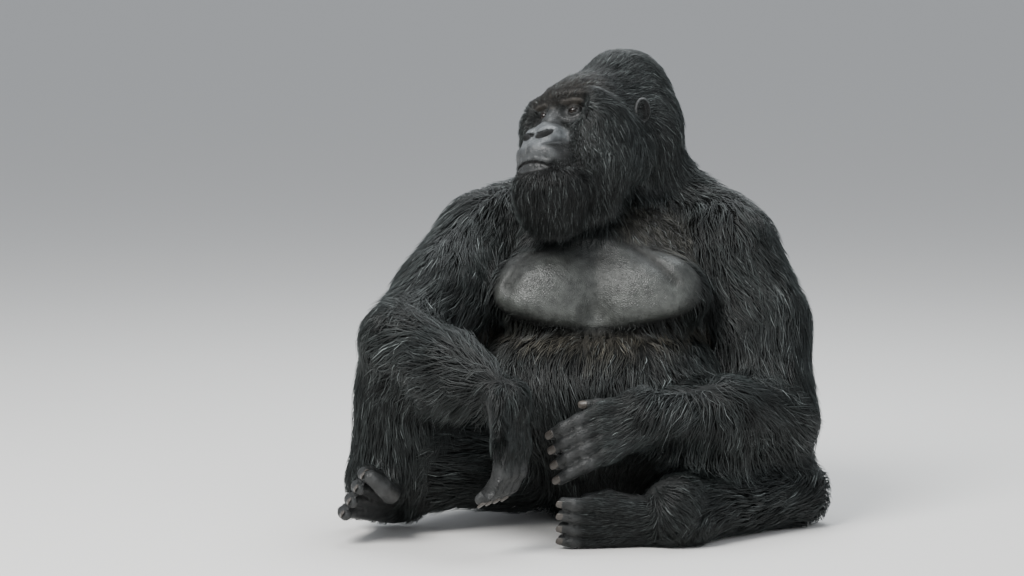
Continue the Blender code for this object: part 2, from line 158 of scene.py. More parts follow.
HEAD_TURN = turned(z=HEAD_YAW) @ turned(x=HEAD_PITCH) @ turned(y=HEAD_ROLL)
DOWN = np.array((0.0, 0.0, -1.0))
BODY_BLEND, HEAD_BLEND, LOOSE_BLEND, DIGIT_BLEND, EAR_BLEND = 0.035, 0.018, 0.034, 0.006, 0.008
FORMS = []


def form(part, coat, kind, a, b, radii, flow, blend, palm=None):
    a, b, radii, traits = (np.array(values, float) for values in (a, b, radii, COATS[coat]))
    FORMS.append(Record(part=part, coat=traits, name=coat, kind=kind, a=a, b=b, radii=radii, flow=unit(flow),
                        blend=blend, palm=None if palm is None else unit(palm)))


def ball(part, coat, centre, radii, flow):
    form(part, coat, "ball", centre, np.eye(3), radii, flow, BODY_BLEND)


def limb(part, coat, start, end, radii, flow=None, blend=BODY_BLEND, palm=None):
    flow = np.subtract(end, start) if flow is None else flow
    form(part, coat, "limb", start, end, radii, flow, blend, palm)


def in_head(point):
    """The world place of a point of the head's frame."""
    return HEAD_PLACE + HEAD_TURN @ (np.array(point, float) / 1000)


def in_frame_of_head(points):
    return (points - HEAD_PLACE) @ HEAD_TURN * 1000


def head_ball(coat, centre, radii, tilt=0.0, part="head", blend=HEAD_BLEND):
    blend = LOOSE_BLEND if coat in LOOSE_COATS else blend
    form(part, coat, "ball", in_head(centre), HEAD_TURN @ turned(x=tilt), np.array(radii) / 1000, DOWN, blend)


def head_limb(coat, start, end, radii):
    limb("head", coat, in_head(start), in_head(end), np.array(radii) / 1000, DOWN, HEAD_BLEND)


def head_forms():
    head_ball("crown", (0, 5, 40), (92, 112, 98))
    head_ball("crown", (0, 78, 115), (76, 104, 76))
    head_ball("crown", (0, -64, 62), (80, 66, 46))
    head_ball("nape", (0, 108, 18), (112, 96, 126))
    head_ball("face", (0, -62, -5), (74, 80, 85))
    head_ball("face", (0, -142, -58), (60, 62, 46))
    head_ball("face", (0, -168, -60), (55, 46, 28))
    head_ball("face", (0, -160, -104), (54, 48, 26))
    head_limb("face", (0, -118, 38), (0, -150, -12), (16, 26))
    head_ball("beard", (0, -138, -130), (93, 82, 78))
    head_ball("cheek", (0, -50, -105), (98, 90, 72))
    for side in (-1, 1):
        head_ball("face", (34 * side, -152, -70), (36, 42, 30))
        head_ball("front", (86 * side, -96, 16), (28, 38, 50))
        head_ball("cheek", (82 * side, -60, -32), (54, 76, 96))
        head_ball("nape", (70 * side, 14, -35), (44, 70, 80))
        head_ball("front", (54 * side, -98, -42), (44, 52, 72))
        head_limb("brow", (78 * side, -98, 56), (0, -122, 58), (17, 16))
        head_ball("face", (22 * side, -164, -25), (21, 26, 19))
        head_ball("ear", (100 * side, 20, 38), (13, 22, 29), tilt=-12, part="ear", blend=EAR_BLEND)


def trunk_forms():
    down = (0, 0.05, -1)
    limb("neck", "neck", (0.02, 0.10, 0.61), (0.055, 0.085, 0.715), (0.165, 0.125), (0.05, 0.25, -1))
    for x in (-0.17, 0.24):
        limb("neck", "neck", (0.05 + x * 0.25, 0.10, 0.695), (x, 0.065, 0.605), (0.088, 0.075),
             (x * 3, 0.1, -0.8))
    ball("trunk", "chest", (0.015, 0.05, 0.46), (0.262, 0.205, 0.23), down)
    ball("trunk", "back", (0.02, 0.12, 0.565), (0.25, 0.15, 0.150), down)
    limb("trunk", "chest", (-0.19, 0.05, 0.598), (0.235, 0.06, 0.592), (0.085, 0.085), down)
    for x in (-0.095, 0.105):
        ball("trunk", "chest", (x, -0.115, 0.468), (0.132, 0.085, 0.092), (x * 4, 0, -1))
    ball("trunk", "rump", (0.0, 0.105, 0.160), (0.235, 0.205, 0.180), (0, 0.3, -1))
    ball("trunk", "belly", (0.0, 0.0, 0.128), (0.170, 0.170, 0.145), (0, -0.2, -1))
    ball("trunk", "belly", (0.005, -0.02, 0.262), (0.280, 0.262, 0.200), (0, -0.15, -1))
    ball("trunk", "back", (0.005, 0.135, 0.345), (0.245, 0.170, 0.20), down)
    ball("trunk", "belly", (-0.235, -0.02, 0.395), (0.050, 0.070, 0.070), down)  # fold of the right armpit


def digit(part, root, along, across, lengths, radius, curl, palm):
    """A finger or toe as a chain of bones. It returns the tip: place, heading, facing and radius."""
    place, heading, axis = np.array(root, float), unit(along), Vector(across).normalized()
    for number, length in enumerate(lengths):
        size = radius * (1 - 0.07 * number)
        far = place + heading * length
        limb(part, "digit", place, far, (size, size * 0.95), blend=DIGIT_BLEND, palm=palm)
        place = far
        if number < len(lengths) - 1:
            heading = np.array(Matrix.Rotation(radians(curl), 3, axis) @ Vector(heading))
    return {"place": place, "heading": heading, "facing": np.cross(heading, np.array(axis)),
            "radius": radius * 0.82}


def hand_forms(side):
    lie, part, wrist = HANDS[side], f"hand_{side}", POSE[f"wrist_{side}"]
    along, row = unit(lie["along"]), unit(lie["row"])
    palm = np.cross(row, along)
    seats = []
    for number in range(4):
        offset = row * (number - 1.5) * FINGER_PITCH
        knuckle = wrist + along * PALM_LENGTH + offset
        limb(part, "hand", wrist + offset * 0.55, knuckle, (FINGER_RADIUS * 1.75, FINGER_RADIUS * 1.25),
             blend=DIGIT_BLEND, palm=palm)
        seats.append(digit(part, knuckle, along + palm * 0.25, row, FINGER_BONES, FINGER_RADIUS, lie["curl"],
                           palm))
    thumb = row * lie["thumb_end"]
    root = wrist + along * 0.022 + thumb * 0.030 + palm * 0.008
    seats.append(digit(part, root, along + thumb * 0.45 + palm * 0.30, row, THUMB_BONES, FINGER_RADIUS * 0.95,
                       lie["curl"] * 0.6, palm))
    return seats


def foot_forms(side):
    lie, part = FEET[side], f"foot_{side}"
    along, row = unit(lie["along"]), unit(lie["row"])
    sole = np.cross(row, along)
    heel, balls = np.array(lie["heel"]), np.array(lie["balls"])
    limb(part, "foot", POSE[f"ankle_{side}"], heel, (LEG_RADII["ankle"] * 0.9, HEEL_RADIUS),
         blend=DIGIT_BLEND, palm=sole)
    seats = []
    for number in range(4):
        offset = row * (number - 1.5) * TOE_PITCH
        limb(part, "foot", heel + offset * 0.4, balls + offset, (INSTEP_RADIUS, TOE_RADIUS * 1.25),
             blend=DIGIT_BLEND, palm=sole)
        seats.append(digit(part, balls + offset, along, row, TOE_BONES, TOE_RADIUS, TOE_CURL, sole))
    points = [np.array(point) for point in lie["first_toe"]]
    for number, (start, end) in enumerate(zip(points, points[1:])):
        limb(part, "digit" if number else "foot", start, end, FIRST_TOE_RADII[number:number + 2],
             blend=DIGIT_BLEND, palm=sole)
    heading = unit(points[-1] - points[-2])
    seats.append({"place": points[-1], "heading": heading, "facing": np.cross(heading, row),
                  "radius": FIRST_TOE_RADII[-1] * 0.9})
    return seats


def limb_forms(side):
    arm = ("shoulder", "mid_arm", "elbow", "mid_forearm", "wrist")
    for number, (first, second) in enumerate(zip(arm, arm[1:])):
        start, end = POSE[f"{first}_{side}"], POSE[f"{second}_{side}"]
        radii = np.array((ARM_RADII[first], ARM_RADII[second])) * ARM_BULK[side]
        if number < 2:
            limb(f"arm_{side}", "upper_arm", start, end, radii, unit(end - start) + DOWN * 0.35)
        else:
            limb(f"arm_{side}", "forearm", start, end, radii, unit(start - end) * 0.9 + DOWN * 0.6)
    knee = LEG_RADII["knee"] if side == "r" else LOW_KNEE_RADIUS
    hip_place, knee_place, ankle_place = (POSE[f"{name}_{side}"] for name in ("hip", "knee", "ankle"))
    limb(f"leg_{side}", "thigh", hip_place, knee_place, (LEG_RADII["hip"], knee))
    limb(f"leg_{side}", "shank", knee_place, ankle_place, (knee, LEG_RADII["ankle"]))
    if side == "r":
        limb("leg_r", "shank", *CALF)
        limb("leg_r", "thigh", *HAM)


head_forms()
trunk_forms()
tips = {}
for side in "lr":
    tips[f"hand_{side}"] = hand_forms(side)
    tips[f"foot_{side}"] = foot_forms(side)
    limb_forms(side)


# ---------------------------------------------------------------- distances

def smooth_min(a, b, k):
    h = np.clip(0.5 + 0.5 * (b - a) / k, 0, 1)
    return b + (a - b) * h - k * h * (1 - h)


def ramp(low, high, value):
    """A smooth step from 0 at low to 1 at high."""
    t = np.clip((value - low) / (high - low), 0, 1)
    return t * t * (3 - 2 * t)


def bell(away):
    return np.exp(-away ** 2)


def to_form(points, item, inset=0.0):
    """Distance of each point from a form that is smaller than it is by inset."""
    if item.kind == "ball":
        radii = np.maximum(item.radii - np.asarray(inset)[..., None], 0.003)
        local = (points - item.a) @ item.b
        k0 = np.sqrt(((local / radii) ** 2).sum(-1))
        k1 = np.sqrt(((local / radii ** 2) ** 2).sum(-1)) + 1e-9
        return k0 * (k0 - 1) / k1
    line = item.b - item.a
    t = np.clip(((points - item.a) @ line) / (line @ line), 0, 1)
    near = item.a + t[..., None] * line
    return size_of(points - near) - (item.radii[0] * (1 - t) + item.radii[1] * t - inset)


def form_box(item, margin):
    if item.kind == "ball":
        reach = np.sqrt(((item.b * item.radii) ** 2).sum(1))
        return item.a - reach - margin, item.a + reach + margin
    first, last = item.radii
    return (np.minimum(item.a - first, item.b - last) - margin,
            np.maximum(item.a + first, item.b + last) + margin)


def near_form(points, item, margin):
    """The numbers of the points in a form's box."""
    low, high = form_box(item, margin)
    return np.nonzero(((points > low) & (points < high)).all(1))[0]


# The bare breast and the thin hair of the collar, each as a centre and half sizes along X and Z.
BARE_PATCHES = (((-0.003, 0.490), (0.200, 0.098)),)
COLLAR_PATCHES = (((0.125, 0.595), (0.085, 0.065)),)
BARE_DEPTH = 0.003
FAR, MARGIN, GRID, SKIN_GRID = 0.25, 0.05, 0.006, 0.008
LOW, HIGH = np.array((-0.58, -0.50, -0.04)), np.array((0.52, 0.37, 1.02))
SKIN_FLOOR, COAT_FLOOR = 0.0035, 0.0025


def fold_height(x):
    """The height of the fold under the breast."""
    return 0.401 + 0.85 * x ** 2


def ripple(points, scale, seed):
    """A smooth wandering value of about -1 to 1 at each point, with scale waves in 2 pi metres."""
    rng = np.random.default_rng(seed)
    total = 0.0
    for _ in range(5):
        wave = unit(rng.normal(0, 1, 3)) * scale * rng.uniform(0.6, 1.6)
        total = total + np.sin(points @ wave + rng.uniform(0, 2 * pi))
    return total / 2.5


def patch_ratio(x, z, patches):
    """How far out each (x, z) lies from the nearest of some ellipses: 1 on its edge."""
    ratios = [np.hypot((x - centre[0]) / size[0], (z - centre[1]) / size[1]) for centre, size in patches]
    return np.min(ratios, axis=0)


def bare_chest(points):
    """1 on the bare breast, fading to 0 along an uneven edge."""
    x, y, z = np.moveaxis(points, -1, 0)
    ratio = patch_ratio(x, z, BARE_PATCHES) + 0.09 * ripple(points, 45.0, 3)
    return ramp(1.16, 0.86, ratio) * ramp(0.03, -0.04, y) * ramp(-0.005, 0.002, z - fold_height(x))


def thin_collar(points, part):
    """1 on the thin-haired swelling between throat and left shoulder, fading to 0."""
    ratio = patch_ratio(points[:, 0], points[:, 2], COLLAR_PATCHES) + 0.12 * ripple(points, 50.0, 4)
    return ramp(1.3, 0.7, ratio) * ramp(0.03, -0.03, points[:, 1]) * np.isin(part, TORSO)


def coat_depth(item, points):
    """How far a form's skin lies under its coat: less on the bare breast."""
    depth = item.coat[DEPTH]
    if item.part in ("trunk", "neck") and item.name != "back":
        bare = bare_chest(points)
        return depth * (1 - bare) + BARE_DEPTH * bare
    return np.full(points.shape[:-1], depth)


def grid_of(step, of_skin):
    """The distance from the skin, or from the coat's surface, on a regular grid."""
    count = np.ceil((HIGH - LOW) / step).astype(int) + 1
    values = np.full(count, FAR, np.float32)
    for item in FORMS:
        low, high = form_box(item, MARGIN)
        first = np.maximum(np.floor((low - LOW) / step).astype(int), 0)
        last = np.minimum(np.ceil((high - LOW) / step).astype(int) + 1, count)
        axes = [LOW[i] + step * np.arange(first[i], last[i]) for i in range(3)]
        points = np.stack(np.meshgrid(*axes, indexing="ij"), -1)
        inset = coat_depth(item, points) if of_skin else 0.0
        where = tuple(slice(first[i], last[i]) for i in range(3))
        values[where] = smooth_min(values[where], to_form(points, item, inset), item.blend)
    heights = LOW[2] + step * np.arange(count[2])
    floor = (SKIN_FLOOR if of_skin else 0.0) - heights
    return np.maximum(values, floor[None, None, :]).astype(np.float32)


def sample(grid, points):
    """Trilinear values of a grid of the coat's surface at the points."""
    place = np.clip((points - LOW) / GRID, 0, np.array(grid.shape[:3]) - 1.001)
    base = place.astype(int)
    part = place - base
    total = 0.0
    for corner in np.ndindex(2, 2, 2):
        weight = np.prod(np.where(corner, part, 1 - part), axis=-1)
        value = grid[base[:, 0] + corner[0], base[:, 1] + corner[1], base[:, 2] + corner[2]]
        total = total + (value * weight if grid.ndim == 3 else value * weight[:, None])
    return total


def skin_distance(points, forms=FORMS):
    """The distance from the skin before its fine features, at any points."""
    distance = np.full(len(points), FAR)
    for item in forms:
        near = near_form(points, item, MARGIN)
        if len(near):
            away = to_form(points[near], item, coat_depth(item, points[near]))
            distance[near] = smooth_min(distance[near], away, item.blend)
    return distance


# ---------------------------------------------------------------- fine features

HEAD_FORMS = [item for item in FORMS if item.part in ("head", "ear", "neck")]


def feature(kind, a, b, radii, blend, cut=False, shade=1.0):
    """A form that adds to the skin or cuts it. Its painted shade darkens the skin inside a cut."""
    return Record(kind=kind, a=a, b=b, radii=np.array(radii, float), blend=blend, cut=cut, shade=shade)


def head_feature(centre, radii, blend, cut=False, turn=turned(), shade=1.0):
    """An ellipsoid in the head's frame."""
    radii = np.array(radii) / 1000
    return feature("ball", in_head(centre), HEAD_TURN @ turn, radii, blend / 1000, cut, shade)


def face_line(points, radius, blend, sink, cut=False, shade=1.0):
    """A crease or ridge that follows the face through (x, z) points of the head's frame, on both sides."""
    made, inward = [], HEAD_TURN @ (0, 1, 0)
    for side in (-1, 1):
        spots = np.array([in_head((x * side, -250, z)) for x, z in points])
        for _ in range(60):
            spots += np.clip(skin_distance(spots, HEAD_FORMS) * 0.9, -0.003, 0.030)[:, None] * inward
        spots += inward * sink / 1000
        made += [feature("limb", a, b, (radius / 1000, radius / 1000), blend / 1000, cut, shade)
                 for a, b in zip(spots, spots[1:])]
    return made


def side_features(side):
    """The features of eye, nose and ear."""
    x, y, z = EYE_PLACE
    x *= side
    slant = turned(z=43.0 * side) @ turned(y=-19.0 * side)
    rib = in_head((103 * side, 24, 52)), in_head((105 * side, 26, 28))
    return [
        head_feature((x * 1.04, y - 20, z + 2), (22, 17, 16), 5, True, shade=0.75),  # socket, with painted shade inside
        head_feature((x, y, z), (14.2, 13.8, 13.7), 3),  # lids
        head_feature((x, y - 13, z - 0.8), (11.4, 8.5, 3.2), 1, True, turned(y=6.0 * side), 0.25),  # opening, with painted shade on the lids' inner edges
        head_feature((22 * side, -173, -26), (26, 10, 17), 6, turn=slant),  # thick rim of the nose
        head_feature((15 * side, -172, -26), (22, 25, 9.8), 2, True, slant, 0.02),  # nostril, with painted shade inside
        head_feature((111 * side, 16, 37), (13, 17, 22.5), 2.5, True, shade=0.10),  # bowl of the ear, with painted shade inside
        feature("limb", *rib, (0.0032, 0.0026), 0.003),
    ]


MOUTH = ((0, -80), (16, -81), (30, -85), (42, -91), (55, -101))
# The mouth's crease, with painted shade in it.
FEATURES = face_line(MOUTH, 3.4, 2.5, 1.4, True, 0.12)
FEATURES += face_line(((0, -73), (16, -74), (30, -78), (41, -84)), 4.5, 4.0, 2.8)  # upper lip's edge
FEATURES += face_line(((0, -88), (16, -89), (30, -92), (40, -97)), 4.5, 4.0, 3.2)  # lower lip
for side in (-1, 1):
    FEATURES += side_features(side)
FEATURES.append(head_feature((0, -172, -26), (3.6, 14, 13), 2.5))  # wall between the nostrils

# Folds and swellings, each a height, a half width, a painted shade that darkens the skin along a crease,
# and its (x, z) points: on the face in the head's frame and the same on both sides, on the breast in metres.
FACE_FOLDS = [
    (-6.0, 6.0, 0.45, ((48, -40), (57, -56), (62, -74))),  # from nose to cheek
    (-3.6, 2.6, 0.40, ((44, -2), (49, -15), (49, -30), (42, -42), (30, -48))),  # round the nose
    (-3.0, 3.0, 0.55, ((0, 8), (12, 4), (26, 1), (40, -3))),  # over the nose
    (-1.8, 2.2, 0.8, ((0, -14), (0, -26), (0, -38))),  # between the nostrils
    (-1.6, 2.2, 0.9, ((0, -48), (0, -60), (0, -70))),  # groove of the upper lip
    (-1.3, 1.3, 0.7, ((24, 20), (31, 14), (42, 12), (56, 17))),  # under the eye
    (-1.1, 1.2, 0.75, ((21, 14), (32, 7), (46, 6), (60, 12))),
    (-1.5, 1.6, 0.5, ((27, 39), (39, 42), (54, 38))),  # over the lid
    (-1.4, 2.0, 0.7, ((8, 46), (12, 34), (11, 22))),  # beside the bridge
    (4.5, 8.0, 1.0, ((24, 51), (44, 54), (64, 49))),  # edge of the brow
]
for i in range(6):  # wrinkles beside the nose
    FACE_FOLDS.append((-0.9, 1.0, 0.75, [(x + 4 * i, z - 5 * i) for x, z in ((22, 12), (32, 6), (43, -5))]))
UNDER_BREAST = tuple((x, fold_height(x)) for x in (-0.20, -0.15, -0.10, -0.05, 0.0, 0.05, 0.10, 0.15, 0.20))
CHEST_FOLDS = [
    # Under the breast the painted shade is deepest: a painted shadow of the overhang.
    (-0.016, 0.011, 0.10, UNDER_BREAST),
    (0.009, 0.028, 1.0, ((-0.15, 0.450), (-0.09, 0.434), (-0.045, 0.440))),  # heavy lower edge of the breast
    (0.009, 0.028, 1.0, ((0.15, 0.450), (0.09, 0.434), (0.045, 0.440))),
    (-0.006, 0.040, 0.80, ((0.0, 0.57), (0.002, 0.50), (-0.003, 0.44))),  # breastbone
    (-0.011, 0.012, 0.45, ((-0.063, 0.579), (-0.112, 0.559), (-0.154, 0.530), (-0.176, 0.492))),  # to armpits
    (-0.009, 0.010, 0.45, ((0.040, 0.588), (0.068, 0.570), (0.104, 0.546), (0.128, 0.528), (0.156, 0.500))),
    (0.007, 0.020, 1.0, ((-0.08, 0.600), (-0.13, 0.580), (-0.175, 0.545))),  # upper edges of the breast
    (0.006, 0.022, 1.0, ((0.085, 0.600), (0.130, 0.575), (0.165, 0.540))),
]


def off_line(x, z, line):
    """The distance in the plane from each (x, z) to a line of points."""
    nearest = np.full(len(x), np.inf)
    spots = np.stack([x, z], -1)
    for start, end in zip(np.array(line, float), np.array(line, float)[1:]):
        run = end - start
        t = np.clip((spots - start) @ run / (run @ run), 0, 1)
        nearest = np.minimum(nearest, size_of(spots - start - t[:, None] * run))
    return nearest


def relief(points):
    """How far the folds raise the skin at each point, and what their painted shade leaves of its brightness.
    """
    height, light = np.zeros(len(points)), np.ones(len(points))
    x, y, z = points.T
    head_x, head_y, head_z = in_frame_of_head(points).T
    on_face = np.nonzero((head_y < -90) & (np.abs(head_x) < 85) & (np.abs(head_z + 20) < 90))[0]
    on_chest = np.nonzero((y < -0.02) & (np.abs(x) < 0.25) & (z > 0.35) & (z < 0.67))[0]
    for near, folds, across, up, scale in (
            (on_face, FACE_FOLDS, np.abs(head_x), head_z, 0.001), (on_chest, CHEST_FOLDS, x, z, 1.0)):
        for rise, width, shade, line in folds:
            away = off_line(across[near], up[near], line) / width
            height[near] += rise * scale * (bell(away) if rise > 0 else np.exp(-away ** 1.3))
            light[near] *= 1 - (1 - shade) * bell(away)
    return height, light


def fine_distance(points):
    """The skin's distance with its folds and the features of face and ears."""
    distance = skin_distance(points) - relief(points)[0]
    for item in FEATURES:
        near = near_form(points, item, 0.01)
        if len(near):
            tool, now = to_form(points[near], item), distance[near]
            if item.cut:
                distance[near] = -smooth_min(-now, tool, item.blend)
            else:
                distance[near] = smooth_min(now, tool, item.blend)
    return distance


# ---------------------------------------------------------------- skin

def refine(points, faces, chosen):
    """Splits the chosen triangles in four and their neighbours so that the mesh stays closed."""
    edges = np.sort(np.stack([faces, np.roll(faces, -1, 1)], -1), -1)
    _, index = np.unique(edges.reshape(-1, 2), axis=0, return_inverse=True)
    index = index.reshape(-1, 3)
    split = np.zeros(index.max() + 1, bool)
    split[index[chosen]] = True
    ends = np.zeros((len(split), 2), int)
    ends[index.reshape(-1)] = edges.reshape(-1, 2)
    middle = np.full(len(split), -1)
    middle[split] = len(points) + np.arange(split.sum())
    points = np.vstack([points, points[ends[split]].mean(1)])
    marks = split[index]
    kind = marks.sum(1)
    out = [faces[kind == 0]]
    a, b, c = faces[kind == 3].T
    ab, bc, ca = middle[index[kind == 3]].T
    out += [np.stack(t, 1) for t in ((a, ab, ca), (ab, b, bc), (ca, bc, c), (ab, bc, ca))]
    for turn in range(3):
        rows, found, mids = (np.roll(table, -turn, 1) for table in (faces, marks, middle[index]))
        one = (kind == 1) & found[:, 0]
        a, b, c = rows[one].T
        m = mids[one, 0]
        out += [np.stack(t, 1) for t in ((a, m, c), (m, b, c))]
        two = (kind == 2) & found[:, 0] & found[:, 1]
        a, b, c = rows[two].T
        m, n = mids[two, 0], mids[two, 1]
        out += [np.stack(t, 1) for t in ((m, b, n), (a, m, n), (a, n, c))]
    return points, np.vstack(out)


# Where the mesh is finer, level by level: boxes as lowest and highest corners, the same on both sides, in the
# head's frame round face, ears, eyes, nose and mouth, and in metres on the breast.
HEAD_ZONES = (
    (((-1, -999, -125), (85, -60, 85)), ((78, -14, -2), (999, 54, 78))),
    (((-1, -999, -112), (70, -95, 62)), ((84, -8, 6), (999, 44, 70))),
    (((20, -999, 13), (60, -108, 43)), ((-1, -999, -50), (46, -145, -4)),
     ((-1, -999, -102), (52, -150, -68))),
)
BREAST_ZONES = ((((-1, -1, 0.37), (0.225, -0.08, 0.62)),), (((-1, -1, 0.378), (0.215, -0.08, 0.438)),), ())
# Middle and reach of the finer zones of hands and feet.
LIMB_ZONES = []
for side in "lr":
    balls, heel = np.array(FEET[side]["balls"]), np.array(FEET[side]["heel"])
    LIMB_ZONES.append((POSE[f"wrist_{side}"] + unit(HANDS[side]["along"]) * 0.13, 0.135))
    LIMB_ZONES.append((balls * 0.7 + heel * 0.3, 0.125))


def fine_zone(points, level):
    """Which points want a finer mesh at this level of refinement."""
    found = np.zeros(len(points), bool)
    for places, zones in ((in_frame_of_head(points), HEAD_ZONES), (points, BREAST_ZONES)):
        places = np.column_stack([np.abs(places[:, 0]), places[:, 1:]])
        for low, high in zones[level]:
            found |= ((places > low) & (places < high)).all(1)
    if level == 0:
        for middle, reach in LIMB_ZONES:
            found |= size_of(points - middle) < reach
        found &= points[:, 2] > SKIN_FLOOR + 0.002
    return found


def slope(points, step=0.0008):
    """The outward direction at points near the skin."""
    offsets = np.eye(3) * step
    return unit(np.stack([fine_distance(points + e) - fine_distance(points - e) for e in offsets], -1))


def make_skin_mesh():
    """The skin as a closed mesh: a coarse one, refined and drawn to the fine distance three times over."""
    grid = openvdb.FloatGrid(FAR)
    grid.copyFromArray(grid_of(SKIN_GRID, True))
    points, quads = grid.convertToQuads(isovalue=0.0)
    points = points.astype(float) * SKIN_GRID + LOW
    faces = np.vstack([quads[:, [0, 1, 2]], quads[:, [0, 2, 3]]]).astype(int)
    for level in range(3):
        points, faces = refine(points, faces, fine_zone(points[faces].mean(1), level))
        for _ in range(3):
            free = np.nonzero(points[:, 2] > SKIN_FLOOR + 0.001)[0]
            if level:
                free = free[fine_zone(points[free], level - 1)]
            some = points[free]
            step = np.clip(fine_distance(some) * 0.8, -0.005, 0.005)
            moved = some - slope(some) * step[:, None]
            moved[:, 2] = np.maximum(moved[:, 2], SKIN_FLOOR)
            points[free] = moved
    a, b, c = np.moveaxis(points[faces], 1, 0)
    return points, faces if np.einsum("ij,ij->i", a, np.cross(b, c)).sum() > 0 else faces[:, ::-1]


def vertex_normals(points, faces):
    a, b, c = np.moveaxis(points[faces], 1, 0)
    normal = np.cross(b - a, c - a)
    total = np.zeros_like(points)
    for i in range(3):
        np.add.at(total, faces[:, i], normal)
    return unit(total)


SKIN_POINTS, SKIN_FACES = make_skin_mesh()
SKIN_NORMALS = vertex_normals(SKIN_POINTS, SKIN_FACES)

# ---------------------------------------------------------------- traits of the coat over the skin

BLACK, BROWN, BELLY_BROWN, GREY_HAIR, SILVER_HAIR = np.array((
    (0.0088, 0.0105, 0.0102), (0.0170, 0.0138, 0.0105), (0.042, 0.037, 0.028), (0.054, 0.060, 0.059),
    (0.130, 0.135, 0.134)))
# The muzzle's lighter grey is partly the skin's own tone and partly a painted highlight of its gloss.
SKIN_DARK, SKIN_BROWN, SKIN_MUZZLE_AND_SHEEN, SKIN_CHEST, EYE_WHITE, EYE_IRIS = np.array((
    (0.020, 0.021, 0.021), (0.040, 0.036, 0.031), (0.082, 0.088, 0.092), (0.044, 0.047, 0.043),
    (0.010, 0.008, 0.007), (0.009, 0.005, 0.003)))
TRAIT_REACH = 0.007  # how far a form's coat reaches into its neighbours'
FAN_CENTRE = np.array((0.205, -0.290, 0.335))  # where the hair of the left forearm spreads from
# The bare skin of the face as ellipses in the head's frame: bridge, nose, lips, eye, brow.
FACE_PATCHES = (((0, 6), (25, 32)), ((0, -28), (54, 30)), ((0, -68), (58, 24)), ((0, -93), (44, 8)),
                ((41, 20), (27, 16)), ((44, 45), (25, 6)))
FACE_CENTRE = np.array((0.0, -165.0, -20.0))


def traits_at(points, normals):
    """Coat numbers, lie of the hair and body part at points of the skin, from the forms near each."""
    total = np.zeros(len(points))
    coat = np.zeros((len(points), 7))
    flow = np.zeros((len(points), 3))
    best = np.full(len(points), np.inf)
    part = np.zeros(len(points), int)
    for item in FORMS:
        near = near_form(points, item, 0.03)
        some = points[near]
        distance = to_form(some, item, coat_depth(item, some))
        weight = np.exp(-np.maximum(distance, -0.02) / TRAIT_REACH)
        values = np.tile(item.coat, (len(near), 1))
        if item.palm is not None:
            values[:, DENSITY] *= ramp(0.25, -0.35, normals[near] @ item.palm)
        heading = np.tile(item.flow, (len(near), 1))
        if item.name == "forearm" and item.part == "arm_l":
            heading = unit(unit(some - FAN_CENTRE) * 0.8 + (0.05, 0, -0.70))
        total[near] += weight
        coat[near] += values * weight[:, None]
        flow[near] += heading * weight[:, None]
        closer = distance < best[near]
        best[near[closer]] = distance[closer]
        part[near[closer]] = PARTS.index(item.part)
    coat /= total[:, None] + 1e-12
    return coat, unit(flow), part


def face_ratio(head):
    """How far out each point lies from the bare skin of the face: 1 on its edge, 9 behind the face."""
    ratio = patch_ratio(np.abs(head[:, 0]), head[:, 2], FACE_PATCHES) + 0.10 * ripple(head / 1000, 160.0, 5)
    return np.where(head[:, 1] < -90, ratio, 9.0)


def lie_on_head(head):
    """The lie of the hair on the head: out from the face, down the cheeks, back over the crown."""
    sag = 0.15 + 2.8 * ramp(50, -10, head[:, 2])
    front = unit(unit(head - FACE_CENTRE) + DOWN * sag[:, None])
    behind = ramp(10, 110, head[:, 1])[:, None]
    back = unit(np.stack([head[:, 0] * 0.002, np.full(len(head), 0.5), np.full(len(head), -1.0)], -1))
    return unit(front * (1 - behind) + back * behind) @ HEAD_TURN.T


HEAD_POINTS = in_frame_of_head(SKIN_POINTS)
COAT, FLOW, PART = traits_at(SKIN_POINTS, SKIN_NORMALS)
IN_FACE = PART == HEAD
FACE_RATIO = np.where(IN_FACE, face_ratio(HEAD_POINTS), 9.0)
BARE = np.maximum(bare_chest(SKIN_POINTS), ramp(1.22, 0.80, FACE_RATIO))
FUZZ = np.where(IN_FACE, 0.04 + 0.08 * ramp(-50, -62, HEAD_POINTS[:, 2]), 0.2)
THIN = (PART > EAR) * ramp(0.3, 0.9, BARE)
COLLAR = thin_collar(SKIN_POINTS, PART)
STRIP = bell((SKIN_POINTS[:, 2] - fold_height(SKIN_POINTS[:, 0]) + 0.017) / 0.015) * (
    SKIN_POINTS[:, 1] < -0.02) * (np.abs(SKIN_POINTS[:, 0]) < 0.19) * (PART == TRUNK)  # under the breast
SHORT = 1 - 0.62 * ramp(2.2, 1.0, FACE_RATIO)  # round the face
COAT[:, DENSITY] = COAT[:, DENSITY] * (1 - ramp(0.2, 0.8, BARE)) + FUZZ * BARE
COAT[:, LENGTH] *= (1 - 0.78 * THIN) * (1 - 0.45 * STRIP) * (1 - 0.4 * COLLAR) * SHORT
COAT[:, WIDTH] *= (1 - 0.75 * THIN) * (1 - 0.3 * STRIP) * (1 - 0.3 * COLLAR) * np.sqrt(SHORT)
FLOW = np.where((PART <= EAR)[:, None], lie_on_head(HEAD_POINTS), FLOW)


def mixed(first, second, share):
    """Colours between two, by a share for each point."""
    return first + (second - first) * share[:, None]


